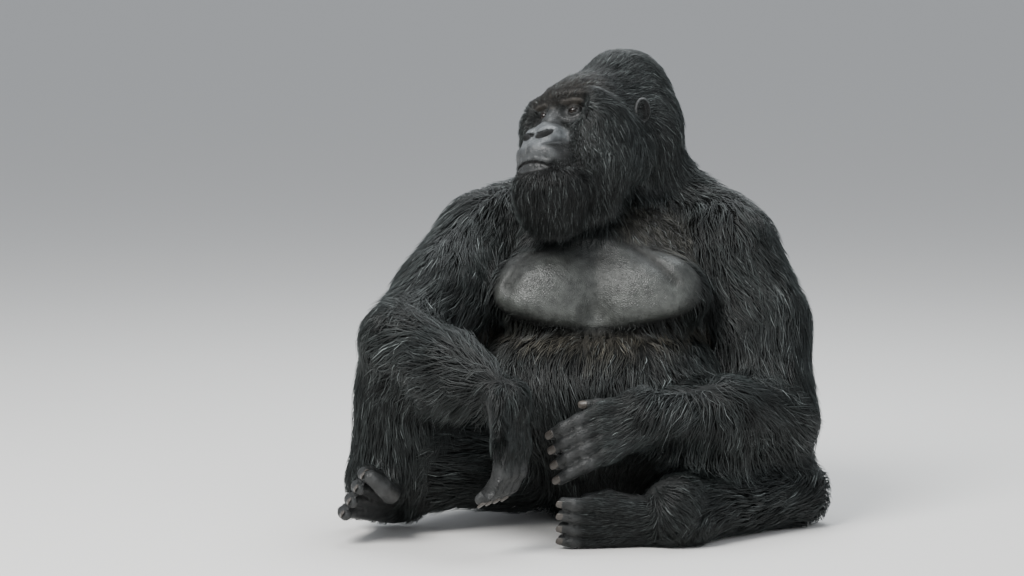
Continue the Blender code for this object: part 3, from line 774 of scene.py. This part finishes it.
def marking_and_painted_shade(points, part):
    """The coat's colour at points of the skin, with painted shade under the jaw and over the forehead."""
    x, y, z = points.T
    head_x, head_y, head_z = in_frame_of_head(points).T
    on_head = (part <= EAR).astype(float)
    in_trunk = part == TRUNK
    brown = on_head * ramp(-50, -90, head_y) * ramp(34, 48, head_z) * ramp(120, 80, head_z) * ramp(
        85, 55, np.abs(head_x)) * 0.75
    strip = ramp(0.02, -0.06, y) * in_trunk * bell((z - fold_height(x) + 0.020) / 0.017) * 0.7
    strip = np.maximum(strip, thin_collar(points, part) * 0.35)
    colour = np.tile(BLACK, (len(points), 1))
    colour += (BROWN - colour) * brown[:, None] + (BELLY_BROWN - colour) * strip[:, None]
    # Painted shade: the hair under the jaw much darker, as if in the head's own shadow, and the hair of
    # forehead and brow darker against the top light on it; all head hair is a little darker.
    painted_jaw_shade = on_head * ramp(-60, -105, head_z)
    painted_forehead_shade = on_head * ramp(20, -40, head_y) * ramp(36, 58, head_z)
    colour *= 1 - (0.58 * painted_jaw_shade + 0.40 * painted_forehead_shade + 0.12 * on_head)[:, None]
    saddle = ramp(0.12, 0.22, y) * ramp(0.10, 0.20, z) * ramp(0.62, 0.50, z) * in_trunk
    return mixed(colour, SILVER_HAIR, saddle * 0.45)


def skin_colour():
    """The skin's colour, with its painted shade and highlight, and how bare it is, at each of its points."""
    x, y, z = HEAD_POINTS.T
    # Nose and upper lip lighter grey, partly the skin's tone and partly painted highlight; less so on the
    # upper lip.
    muzzle_and_sheen = ramp(-125, -150, y) * ramp(16, -8, z) * ramp(-88, -76, z) * (1 - 0.62 * ramp(-38, -62, z))
    brow = ramp(30, 42, z) * ramp(75, 60, np.abs(x))
    face = SKIN_DARK + (SKIN_MUZZLE_AND_SHEEN - SKIN_DARK) * muzzle_and_sheen[:, None] + (SKIN_BROWN - SKIN_DARK) * brow[:, None]
    # Painted shade: the bare breast darker towards the throat, as if in the shadow of head and beard, and
    # lighter towards its lower edge.
    lit = bare_chest(SKIN_POINTS) * (0.35 + 0.65 * ramp(0.575, 0.46, SKIN_POINTS[:, 2]))
    bare = np.where(IN_FACE[:, None], face, mixed(SKIN_DARK, SKIN_CHEST, lit))
    bare = np.where((PART == EAR)[:, None], SKIN_DARK * 1.5, bare)
    share = np.maximum(BARE, ramp(0.6, 0.1, COAT[:, DENSITY]) * np.isin(PART, (EAR, *EXTREMITIES)))
    colour = mixed(marking_and_painted_shade(SKIN_POINTS, PART) * 0.6, bare, share)
    # Painted shade along the folds' creases.
    light = relief(SKIN_POINTS)[1]
    # Painted shade inside the cuts of eyes, nostrils, mouth and ears.
    for item in FEATURES:
        if item.cut:
            near = near_form(SKIN_POINTS, item, 0.004)
            inside = ramp(0.0022, 0.0, to_form(SKIN_POINTS[near], item))
            light[near] *= 1 - (1 - item.shade) * inside
    return colour * light[:, None], share * light


# ---------------------------------------------------------------- materials

def shader_of(name, **settings):
    """A new material, its nodes and its shader with the settings, where _ stands for a space."""
    made = bpy.data.materials.new(name)
    made.use_nodes = True
    shader = made.node_tree.nodes["Principled BSDF"]
    for key, value in settings.items():
        shader.inputs[key.replace("_", " ")].default_value = value
    return made, made.node_tree, shader


def add_node(tree, kind, **settings):
    """A new shader node. A setting is one of its inputs, where _ stands for a space, or else a property."""
    node = tree.nodes.new("ShaderNode" + kind)
    for key, value in settings.items():
        socket = key.replace("_", " ")
        if socket in node.inputs:
            node.inputs[socket].default_value = value
        else:
            setattr(node, key, value)
    return node


def wire(tree, *links):
    """Links, each a node and its output, then a node and its input."""
    for source, output, target, socket in links:
        tree.links.new(source.outputs[output], target.inputs[socket])


def tinted(tree, shader, scale, low, high):
    """The mesh's own colours, made lighter and darker in small patches."""
    colour = add_node(tree, "Attribute", attribute_name="tint")
    place = add_node(tree, "TexCoord")
    noise = add_node(tree, "TexNoise", Scale=scale, Detail=4.0)
    spread = add_node(tree, "MapRange", From_Min=0.3, From_Max=0.7, To_Min=low, To_Max=high)
    product = add_node(tree, "VectorMath", operation="SCALE")
    wire(tree, (place, "Object", noise, "Vector"), (noise, "Fac", spread, "Value"),
         (colour, "Color", product, 0), (spread, "Result", product, "Scale"),
         (product, "Vector", shader, "Base Color"))
    return place


def fur_material():
    made, tree, shader = shader_of("coat", Roughness=0.48, Specular_IOR_Level=0.28, Sheen_Weight=0.06,
                                   Sheen_Roughness=0.35, Sheen_Tint=(0.78, 0.92, 0.90, 1))
    tinted(tree, shader, 45.0, 0.7, 1.3)
    return made


def skin_material():
    """Skin that is dull under hair and has a faint gloss, pores and creases where it is bare."""
    made, tree, shader = shader_of("skin", Specular_IOR_Level=0.42)
    place = tinted(tree, shader, 55.0, 0.62, 1.45)
    share = add_node(tree, "Attribute", attribute_name="bare")
    rough = add_node(tree, "MapRange", To_Min=0.95, To_Max=0.39)
    cells = add_node(tree, "TexVoronoi", feature="DISTANCE_TO_EDGE", Scale=230.0)
    folds = add_node(tree, "TexNoise", Scale=70.0, Detail=5.0)
    both = add_node(tree, "Math", operation="MULTIPLY_ADD")
    both.inputs[1].default_value = 1.6
    bump = add_node(tree, "Bump", Strength=0.6, Distance=0.0020)
    wire(tree, (share, "Fac", rough, "Value"), (rough, "Result", shader, "Roughness"),
         (place, "Object", cells, "Vector"), (place, "Object", folds, "Vector"), (folds, "Fac", both, 0),
         (cells, "Distance", both, 2), (both, "Value", bump, "Height"), (bump, "Normal", shader, "Normal"))
    return made


def eye_material():
    made, tree, shader = shader_of("eye", Roughness=0.15, Specular_IOR_Level=0.35)
    tinted(tree, shader, 900.0, 0.8, 1.25)
    return made


def nail_material():
    made, tree, shader = shader_of("nail", Roughness=0.38)
    place = add_node(tree, "TexCoord")
    noise = add_node(tree, "TexNoise", Scale=260.0, Detail=3.0)
    shades = add_node(tree, "ValToRGB")
    shades.color_ramp.elements[0].color = (0.030, 0.026, 0.023, 1)
    shades.color_ramp.elements[1].color = (0.085, 0.074, 0.064, 1)
    bump = add_node(tree, "Bump", Strength=0.3, Distance=0.0004)
    wire(tree, (place, "Object", noise, "Vector"), (noise, "Fac", shades, "Fac"),
         (shades, "Color", shader, "Base Color"), (noise, "Fac", bump, "Height"),
         (bump, "Normal", shader, "Normal"))
    return made


# ---------------------------------------------------------------- meshes

def mesh_object(name, points, faces, material, colours=None, sizes=None):
    """An object from arrays. faces is an array or list of corners and sizes each face's corner count."""
    mesh = bpy.data.meshes.new(name)
    faces = np.asarray(faces, np.int32)
    if sizes is None:
        sizes = np.full(len(faces), faces.shape[1])
    sizes, flat = np.asarray(sizes, np.int32), faces.reshape(-1)
    mesh.vertices.add(len(points))
    mesh.vertices.foreach_set("co", np.asarray(points, np.float32).reshape(-1))
    mesh.loops.add(len(flat))
    mesh.loops.foreach_set("vertex_index", flat)
    mesh.polygons.add(len(sizes))
    mesh.polygons.foreach_set("loop_start", np.concatenate([[0], np.cumsum(sizes)[:-1]]).astype(np.int32))
    mesh.polygons.foreach_set("loop_total", sizes)
    mesh.update(calc_edges=True)
    mesh.shade_smooth()
    mesh.materials.append(material)
    if colours is not None:
        layer = mesh.color_attributes.new("tint", "FLOAT_COLOR", "POINT")
        rgba = np.ones((len(points), 4), np.float32)
        rgba[:, :3] = colours
        layer.data.foreach_set("color", rgba.reshape(-1))
    obj = bpy.data.objects.new(name, mesh)
    bpy.context.scene.collection.objects.link(obj)
    return obj


def placed(obj, nodes=()):
    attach(obj, "root")
    if nodes:
        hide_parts(*nodes)


def make_skin():
    colour, share = skin_colour()
    skin = mesh_object("skin", SKIN_POINTS, SKIN_FACES, skin_material(), colour)
    layer = skin.data.attributes.new("bare", "FLOAT", "POINT")
    layer.data.foreach_set("value", share.astype(np.float32))
    placed(skin, [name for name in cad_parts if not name.startswith(("eye", "nail"))])


# ---------------------------------------------------------------- coat

OUTER = grid_of(GRID, False)
OUTWARD = np.stack(np.gradient(OUTER, GRID), -1)

# Each part's line for the unwrap of the skin, and its cell of a 4 by 3 sheet.
UNWRAP_LINES = {
    "head": (in_head((0, -60, -140)), in_head((0, 30, 190))),
    "ear": (in_head((-110, 20, 0)), in_head((110, 20, 60))),
    "neck": ((0.03, 0.09, 0.55), (0.05, 0.09, 0.85)),
    "trunk": ((0.0, 0.05, 0.0), (0.02, 0.05, 0.72)),
}
for side in "lr":
    hand, foot = HANDS[side], FEET[side]
    wrist = POSE[f"wrist_{side}"]
    UNWRAP_LINES[f"arm_{side}"] = (POSE[f"shoulder_{side}"], wrist)
    UNWRAP_LINES[f"leg_{side}"] = (POSE[f"hip_{side}"], POSE[f"ankle_{side}"])
    UNWRAP_LINES[f"hand_{side}"] = (wrist, wrist + unit(hand["along"]) * 0.24)
    UNWRAP_LINES[f"foot_{side}"] = (foot["heel"], np.array(foot["balls"]) + unit(foot["along"]) * 0.06)
SHEET_COLUMNS, SHEET_ROWS, SHEET_EDGE, PATCH = 4, 3, 0.03, 0.003


def unwrap(points, part):
    """Places on a sheet where each part of the skin is unrolled about its own line."""
    places = np.zeros((len(points), 2))
    inner = 1 - 2 * SHEET_EDGE
    for number, name in enumerate(PARTS):
        chosen = part == number
        start, end = (np.array(p, float) for p in UNWRAP_LINES[name])
        axis = unit(end - start)
        across = unit(np.cross(axis, (0.3, 1.0, 0.2)))
        local = points[chosen] - start
        angle = np.arctan2(local @ np.cross(axis, across), local @ across)
        along = np.clip(((local @ axis) / size_of(end - start) + 0.3) / 1.6, 0, 1)
        row, column = divmod(number, SHEET_COLUMNS)
        places[chosen, 0] = (column + SHEET_EDGE + inner * (angle + pi) / (2 * pi)) / SHEET_COLUMNS
        places[chosen, 1] = (row + SHEET_EDGE + inner * along) / SHEET_ROWS
    return places


MOST_DEPTH = 0.045
ROOT_DEPTH = 0.002  # of a tuft's root under the skin
MOST_STEP = 0.010  # out or in, from one station of a tuft to the next
STRAY = 0.12  # how far single tufts leave the lie of the coat
RUFFLE = 55.0  # how far locks swing aside, for each metre of the coat's curl


def strand_paths(roots, normals, coat, flow, rings, rng):
    """Points along each tuft, from root to tip, that follow the body and rise to the coat's surface."""
    count = len(roots)
    length = coat[:, LENGTH] * rng.uniform(0.75, 1.2, count)
    start_value = sample(OUTER, roots)
    layer = np.clip(0.80 + 0.16 * ripple(roots, 260.0, 13), 0.5, 1.0) * rng.uniform(0.65, 1.08, count)
    depth = np.minimum(np.clip(-start_value, 0.001, MOST_DEPTH) * layer, length * 0.6)
    stray = rng.normal(0, STRAY, (count, 3))
    swirl = (ripple(roots, 35.0, 11) + 0.8 * ripple(roots, 120.0, 12)) * coat[:, CURL] * RUFFLE
    flow = unit(flow + stray + np.cross(normals, flow) * swirl[:, None])
    hang = coat[:, HANG] * rng.uniform(0.5, 1.3, count) * ramp(0.3, -0.5, normals[:, 2])
    loose, lifted = 1 - np.clip(hang * 1.6, 0, 1), 1 - np.clip(hang * 2.2, 0, 1)
    paths = np.zeros((count, rings + 1, 3))
    paths[:, 0] = roots - normals * ROOT_DEPTH
    place = roots.copy()
    steps = 2 * rings
    for number in range(1, steps + 1):
        t = number / steps
        outward = unit(sample(OUTWARD, place))
        heading = unit(flow + DOWN * (hang * 1.5 * t)[:, None])
        rise = (heading * outward).sum(1)
        heading = unit(heading - outward * (rise * np.where(rise > 0, loose, 1.0))[:, None])
        place = place + heading * (length / steps)[:, None]
        miss = start_value + depth * (1 - (1 - t) ** 2.2) - sample(OUTER, place)
        miss = np.where(miss < 0, miss * lifted, miss)
        place = place + outward * np.clip(miss, -MOST_STEP, MOST_STEP)[:, None]
        place[:, 2] = np.maximum(place[:, 2], COAT_FLOOR)
        if number % 2 == 0:
            paths[:, number // 2] = place
    return paths


def clumped(paths, roots, rng, size, strength):
    """Draws the tufts' ends together in locks, and says which tuft leads each."""
    count = len(roots)
    centres = np.arange(0, count, size)
    tree = KDTree(len(centres))
    for place, index in enumerate(centres):
        tree.insert(roots[index], place)
    tree.balance()
    owner = centres[np.array([tree.find(root)[1] for root in roots])]
    t = np.linspace(0, 1, paths.shape[1]) ** 1.4
    pull = strength * rng.uniform(0.5, 1.0, count)
    return paths + (paths[owner] - paths) * (pull[:, None] * t)[..., None], owner


CORNERS = ((-1.0, -0.25), (1.0, -0.25), (0.0, 0.75))  # of a tuft's section, sideways and up
TAPER = ((0, 0.35, 0.7, 1), (0.75, 1.0, 0.72, 0.0))  # how wide a tuft is along its length
SOFTNESS = 0.45  # how far a tuft's normals lean towards the body's own
ROOT_SHADE, TIP_SHADE = 0.40, 1.55


def tuft_mesh(name, paths, widths, colours, uv, material):
    """Closed three-sided tufts that taper from root to tip."""
    count, stations, _ = paths.shape
    rings = stations - 1
    ends = rings * 3
    headings = unit(np.gradient(paths, axis=1))
    outward = unit(sample(OUTWARD, paths.reshape(-1, 3))).reshape(paths.shape)
    side = unit(np.cross(headings, outward))
    up = np.cross(side, headings)
    half = (widths[:, None] * np.interp(np.arange(rings) / rings, *TAPER))[..., None]
    points, tube = np.zeros((2, count, ends + 1, 3))
    for corner, (sideways, upwards) in enumerate(CORNERS):
        around = side[:, :rings] * sideways, up[:, :rings] * upwards
        points[:, corner:ends:3] = paths[:, :rings] + around[0] * half + around[1] * half
        tube[:, corner:ends:3] = around[0] + around[1]
    points[:, -1], tube[:, -1] = paths[:, -1], up[:, -1]
    points[..., 2] = np.maximum(points[..., 2], COAT_FLOOR * 0.5)
    faces, sizes = [0, 1, 2], [3] + [4] * (ends - 3) + [3] * 3
    for base in range(0, ends, 3):
        for corner in range(3):
            after = base + (corner + 1) % 3
            corner += base
            faces += [after, corner, corner + 3, after + 3] if base < ends - 3 else [after, corner, ends]
    faces = np.array(faces)
    all_faces = (np.arange(count)[:, None] * (ends + 1) + faces).reshape(-1)
    along = np.concatenate([np.repeat(np.arange(rings) / rings, 3), [1.0]])
    across = np.concatenate([np.tile((0.0, 1.0, 0.5), rings), [0.5]])
    shades = ROOT_SHADE + (TIP_SHADE - ROOT_SHADE) * along
    tints = colours[:, None, :] * shades[None, :, None]
    obj = mesh_object(name, points.reshape(-1, 3), all_faces, material, tints.reshape(-1, 3),
                      np.tile(sizes, count))
    body = np.concatenate([np.repeat(outward[:, :rings], 3, axis=1), outward[:, -1:]], axis=1)
    normals = unit(unit(tube) * (1 - SOFTNESS) + body * SOFTNESS)
    obj.data.normals_split_custom_set_from_vertices(normals.reshape(-1, 3).tolist())
    layer = obj.data.uv_layers.new(name="OFBake")
    patch = np.stack([across, along], -1)[faces] * PATCH - PATCH / 2
    layer.data.foreach_set("uv", (uv[:, None, :] + patch[None]).astype(np.float32).reshape(-1))
    return obj


THIN_LENGTH = 0.024  # shorter hair than this on the trunk shows the skin's colour
GREY_SHARE = 0.55
TUFT_SPREAD, LOCK_SPREAD = 0.35, 0.38  # of the brightness, from tuft to tuft and from lock to lock


def grow(name, chosen, count, rings, material, seed, clump, pull):
    """One piece of the coat over the chosen triangles of the skin."""
    rng = np.random.default_rng(seed)
    faces = SKIN_FACES[chosen]
    a, b, c = np.moveaxis(SKIN_POINTS[faces], 1, 0)
    area = size_of(np.cross(b - a, c - a)) / 2
    weight = np.cumsum(area * COAT[faces, DENSITY].mean(1))
    picks = np.searchsorted(weight, (np.arange(count) + rng.random(count)) / count * weight[-1])
    rows = faces[rng.permutation(np.minimum(picks, len(faces) - 1))]
    share = rng.dirichlet((1, 1, 1), count)

    def spread(values):
        return np.einsum("nc,nck->nk", share, values[rows])

    roots, normals = spread(SKIN_POINTS), unit(spread(SKIN_NORMALS))
    coat, flow = spread(COAT), unit(spread(FLOW))
    part = PART[rows[:, 0]]
    paths = strand_paths(roots, normals, coat, flow, rings, rng)
    paths, owner = clumped(paths, roots, rng, clump, pull)
    phase = rng.uniform(0, 2 * pi, count)[owner] + rng.normal(0, 0.5, count)
    t = np.linspace(0, 1, rings + 1)
    wave = np.sin(phase[:, None] + t * 5.5) * t * coat[:, CURL][:, None]
    sideways = unit(np.cross(flow, normals))
    paths = paths + sideways[:, None, :] * wave[..., None]
    widths = coat[:, WIDTH] * rng.uniform(0.7, 1.3, count)
    colours = marking_and_painted_shade(roots, part)
    thin = (coat[:, LENGTH] < THIN_LENGTH) & np.isin(part, TORSO)
    colours = np.where(thin[:, None], colours * 0.5 + SKIN_CHEST * 0.6, colours)
    grey = rng.random(count) < coat[:, GREY] * GREY_SHARE
    colours = np.where(grey[:, None], mixed(colours, GREY_HAIR, rng.uniform(0.2, 1.0, count)), colours)
    colours = colours * np.exp(rng.normal(0, TUFT_SPREAD, (count, 1)))
    colours = colours * np.exp(rng.normal(0, LOCK_SPREAD, count))[owner][:, None]
    placed(tuft_mesh(name, paths, widths, colours, unwrap(roots, part), material))


def grow_coat():
    material = fur_material()
    centres = SKIN_POINTS[SKIN_FACES].mean(1)
    _, y, z = in_frame_of_head(centres).T
    part = PART[SKIN_FACES[:, 0]]
    on_head = part <= EAR
    short = COAT[SKIN_FACES, LENGTH].mean(1) < 0.032
    face = on_head & (y < -60) & (short | (z > 34))
    front = on_head & ~face & ((y < 20) & (z < 50) | (z < -40))
    upper = centres[:, 2] > fold_height(centres[:, 0]) - 0.004
    lower_arm = np.zeros(len(centres), bool)
    for side in "lr":
        elbow, wrist = POSE[f"elbow_{side}"], POSE[f"wrist_{side}"]
        lower_arm |= (part == PARTS.index(f"arm_{side}")) & ((centres - elbow) @ (wrist - elbow) > 0)
    pieces = (
        ("coat_crown", on_head & ~front & ~face, 17000, 2, 9, 0.40),
        ("coat_cheeks", front, 18500, 2, 8, 0.45),
        ("coat_face", face, 14000, 2, 6, 0.25),
        ("coat_chest", ((part == TRUNK) & upper) | (part == NECK), 15000, 2, 10, 0.55),
        ("coat_belly", (part == TRUNK) & ~upper, 17000, 2, 10, 0.55),
        ("coat_upper_arms", np.isin(part, ARMS) & ~lower_arm, 19000, 2, 14, 0.55),
        ("coat_forearms", lower_arm, 12000, 3, 14, 0.6),
        ("coat_legs", np.isin(part, LEGS), 19000, 2, 10, 0.55),
        ("coat_hands_feet", np.isin(part, EXTREMITIES), 10000, 2, 6, 0.3),
    )
    for seed, (name, chosen, count, rings, clump, pull) in enumerate(pieces, 1):
        grow(name, chosen, count, rings, material, seed, clump, pull)


# ---------------------------------------------------------------- eyes and nails

PUPIL, IRIS, CORNEA = 0.0022, 0.0064, 0.0066
CORNEA_RISE, EYE_SINK = 0.0010, 0.0006
GAZE = HEAD_TURN @ unit((0.05, -1.0, 0.06))
EYE_SEGMENTS = 40


def make_eyes():
    """Two eyeballs about the line of gaze, with closer rings over the cornea."""
    material = eye_material()
    angles = np.arange(EYE_SEGMENTS) * 2 * pi / EYE_SEGMENTS
    frame_x = unit(np.cross(GAZE, (0, 0, 1)))
    circle = np.cos(angles)[:, None] * frame_x + np.sin(angles)[:, None] * np.cross(frame_x, GAZE)
    steps = np.concatenate([np.linspace(0, 0.62, 22), np.linspace(0.66, pi, 22)])
    out = EYE_RADIUS * np.sin(steps)
    bulge = CORNEA_RISE * np.maximum(0, 1 - (out / CORNEA) ** 2) * (steps < pi / 2)
    ahead = EYE_RADIUS * np.cos(steps) - EYE_SINK + bulge
    rings = ahead[:, None, None] * GAZE + out[:, None, None] * circle
    local = np.concatenate([rings[1:-1].reshape(-1, 3), rings[0, :1], rings[-1, :1]])
    index = np.arange((len(steps) - 2) * EYE_SEGMENTS).reshape(-1, EYE_SEGMENTS)
    after = np.roll(index, -1, 1)
    front, back = np.full(EYE_SEGMENTS, index.size), np.full(EYE_SEGMENTS, index.size + 1)
    walls = np.stack([index[:-1], index[1:], after[1:], index[:-1], after[1:], after[:-1]], -1)
    caps = np.stack([index[0], after[0], front, after[-1], index[-1], back], -1)
    faces = np.concatenate([walls.reshape(-1, 3), caps.reshape(-1, 3)])
    off_axis = np.where(local @ GAZE > 0, size_of(local - (local @ GAZE)[:, None] * GAZE), 1.0)
    colour = EYE_IRIS * (1 - 0.75 * ramp(0.0046, IRIS, off_axis))[:, None]
    colour = np.where((off_axis < PUPIL)[:, None], 0.002, colour)
    colour = mixed(colour, EYE_WHITE, ramp(IRIS - 0.0002, IRIS + 0.0005, off_axis))
    for name, sign in (("l", 1), ("r", -1)):
        centre = in_head((EYE_PLACE[0] * sign, *EYE_PLACE[1:]))
        eye = mesh_object(f"eyeball_{name}", local + centre, faces, material, colour)
        placed(eye, [f"eye_{name}"])


NAIL_WIDTH, NAIL_LENGTH, NAIL_THICK = 0.0082, 0.0100, 0.0011
NAIL_COUNT = 9  # of points along and across a nail


def nail_points(tip):
    """Top and underside of a domed nail plate."""
    heading, facing = unit(tip["heading"]), unit(tip["facing"])
    across = np.cross(heading, facing)
    centre = tip["place"] + heading * tip["radius"] * 0.34 + facing * tip["radius"] * 0.80
    line = np.linspace(-1, 1, NAIL_COUNT)
    u, v = np.meshgrid(line, line, indexing="ij")
    round_u = u * np.sqrt(1 - 0.42 * v ** 2)
    round_v = v * np.sqrt(1 - 0.30 * u ** 2)
    dome = 0.0012 - 0.0034 * round_u ** 2 - 0.0016 * np.maximum(round_v, 0) ** 2
    flat = centre + across * (round_u * NAIL_WIDTH)[..., None] + heading * (round_v * NAIL_LENGTH)[..., None]
    return [(flat + facing * (dome - drop)[..., None]).reshape(-1, 3) for drop in (0.0, NAIL_THICK)]


def make_nails():
    material = nail_material()
    size = NAIL_COUNT ** 2
    index = np.arange(size).reshape(NAIL_COUNT, NAIL_COUNT)
    top = np.stack([index[:-1, :-1], index[1:, :-1], index[1:, 1:], index[:-1, 1:]], -1).reshape(-1, 4)
    border = np.concatenate([index[:-1, 0], index[-1, :-1], index[:0:-1, -1], index[0, :0:-1]])
    after = np.roll(border, -1)
    wall = np.stack([border, border + size, after + size, after], -1)
    plate = np.vstack([top, top[:, ::-1] + size, wall])
    for key, seats in tips.items():
        kind, side = key.split("_")
        row = "finger" if kind == "hand" else "toe"
        points = [layer for tip in seats for layer in nail_points(tip)]
        faces = [plate + 2 * size * number for number in range(len(seats))]
        nails = mesh_object(f"nails_{key}", np.concatenate(points), np.concatenate(faces), material)
        bm = bmesh.new()
        bm.from_mesh(nails.data)
        bmesh.ops.recalc_face_normals(bm, faces=bm.faces)
        bm.to_mesh(nails.data)
        bm.free()
        placed(nails, [f"nail_{row}_{side}_{number + 1}" for number in range(len(seats))])


# ---------------------------------------------------------------- floor, light and camera

CAMERA_PLACE, CAMERA_PITCH, CAMERA_LENS, CAMERA_SENSOR = (-0.16834, -7.5, 1.25), 84.068, 130.0, 36.0
LIGHT_TARGET = Vector((0, -0.05, 0.5))
FLOOR_SIZE, FLOOR_COLOUR = 500, (0.72, 0.71, 0.69, 1)
WORLD_COLOUR, WORLD_STRENGTH = (0.80, 0.84, 0.90, 1), 0.62
LIGHTS = {  # place, size, power and colour
    "key": ((-2.2, -2.8, 3.9), 2.6, 370, (1.0, 0.99, 0.97)),
    "top": ((0.5, 1.2, 3.8), 3.0, 140, (0.94, 0.98, 1.0)),
    "fill": ((2.8, -4.2, 2.0), 3.4, 80, (0.96, 0.99, 1.0)),
}


def make_studio():
    scene = bpy.context.scene
    bpy.ops.mesh.primitive_plane_add(size=FLOOR_SIZE, location=(0, 0, 0))
    floor = bpy.context.active_object
    floor.name = "floor"
    floor.data.materials.append(shader_of("studio_floor", Roughness=0.9, Base_Color=FLOOR_COLOUR)[0])
    scene.world = bpy.data.worlds.new("studio")
    scene.world.use_nodes = True
    sky = scene.world.node_tree.nodes["Background"].inputs
    sky["Color"].default_value, sky["Strength"].default_value = WORLD_COLOUR, WORLD_STRENGTH
    for name, (place, size, power, colour) in LIGHTS.items():
        data = bpy.data.lights.new(name, "AREA")
        data.shape, data.size, data.energy, data.color = "DISK", size, power, colour
        light = bpy.data.objects.new(name, data)
        light.location = place
        light.rotation_euler = (LIGHT_TARGET - Vector(place)).to_track_quat("-Z", "Y").to_euler()
        scene.collection.objects.link(light)
    data = bpy.data.cameras.new("camera")
    data.lens, data.sensor_width = CAMERA_LENS, CAMERA_SENSOR
    camera = bpy.data.objects.new("camera", data)
    camera.location = CAMERA_PLACE
    camera.rotation_euler = (radians(CAMERA_PITCH), 0, 0)
    scene.collection.objects.link(camera)
    scene.camera = camera


make_skin()
grow_coat()
make_eyes()
make_nails()
make_studio()
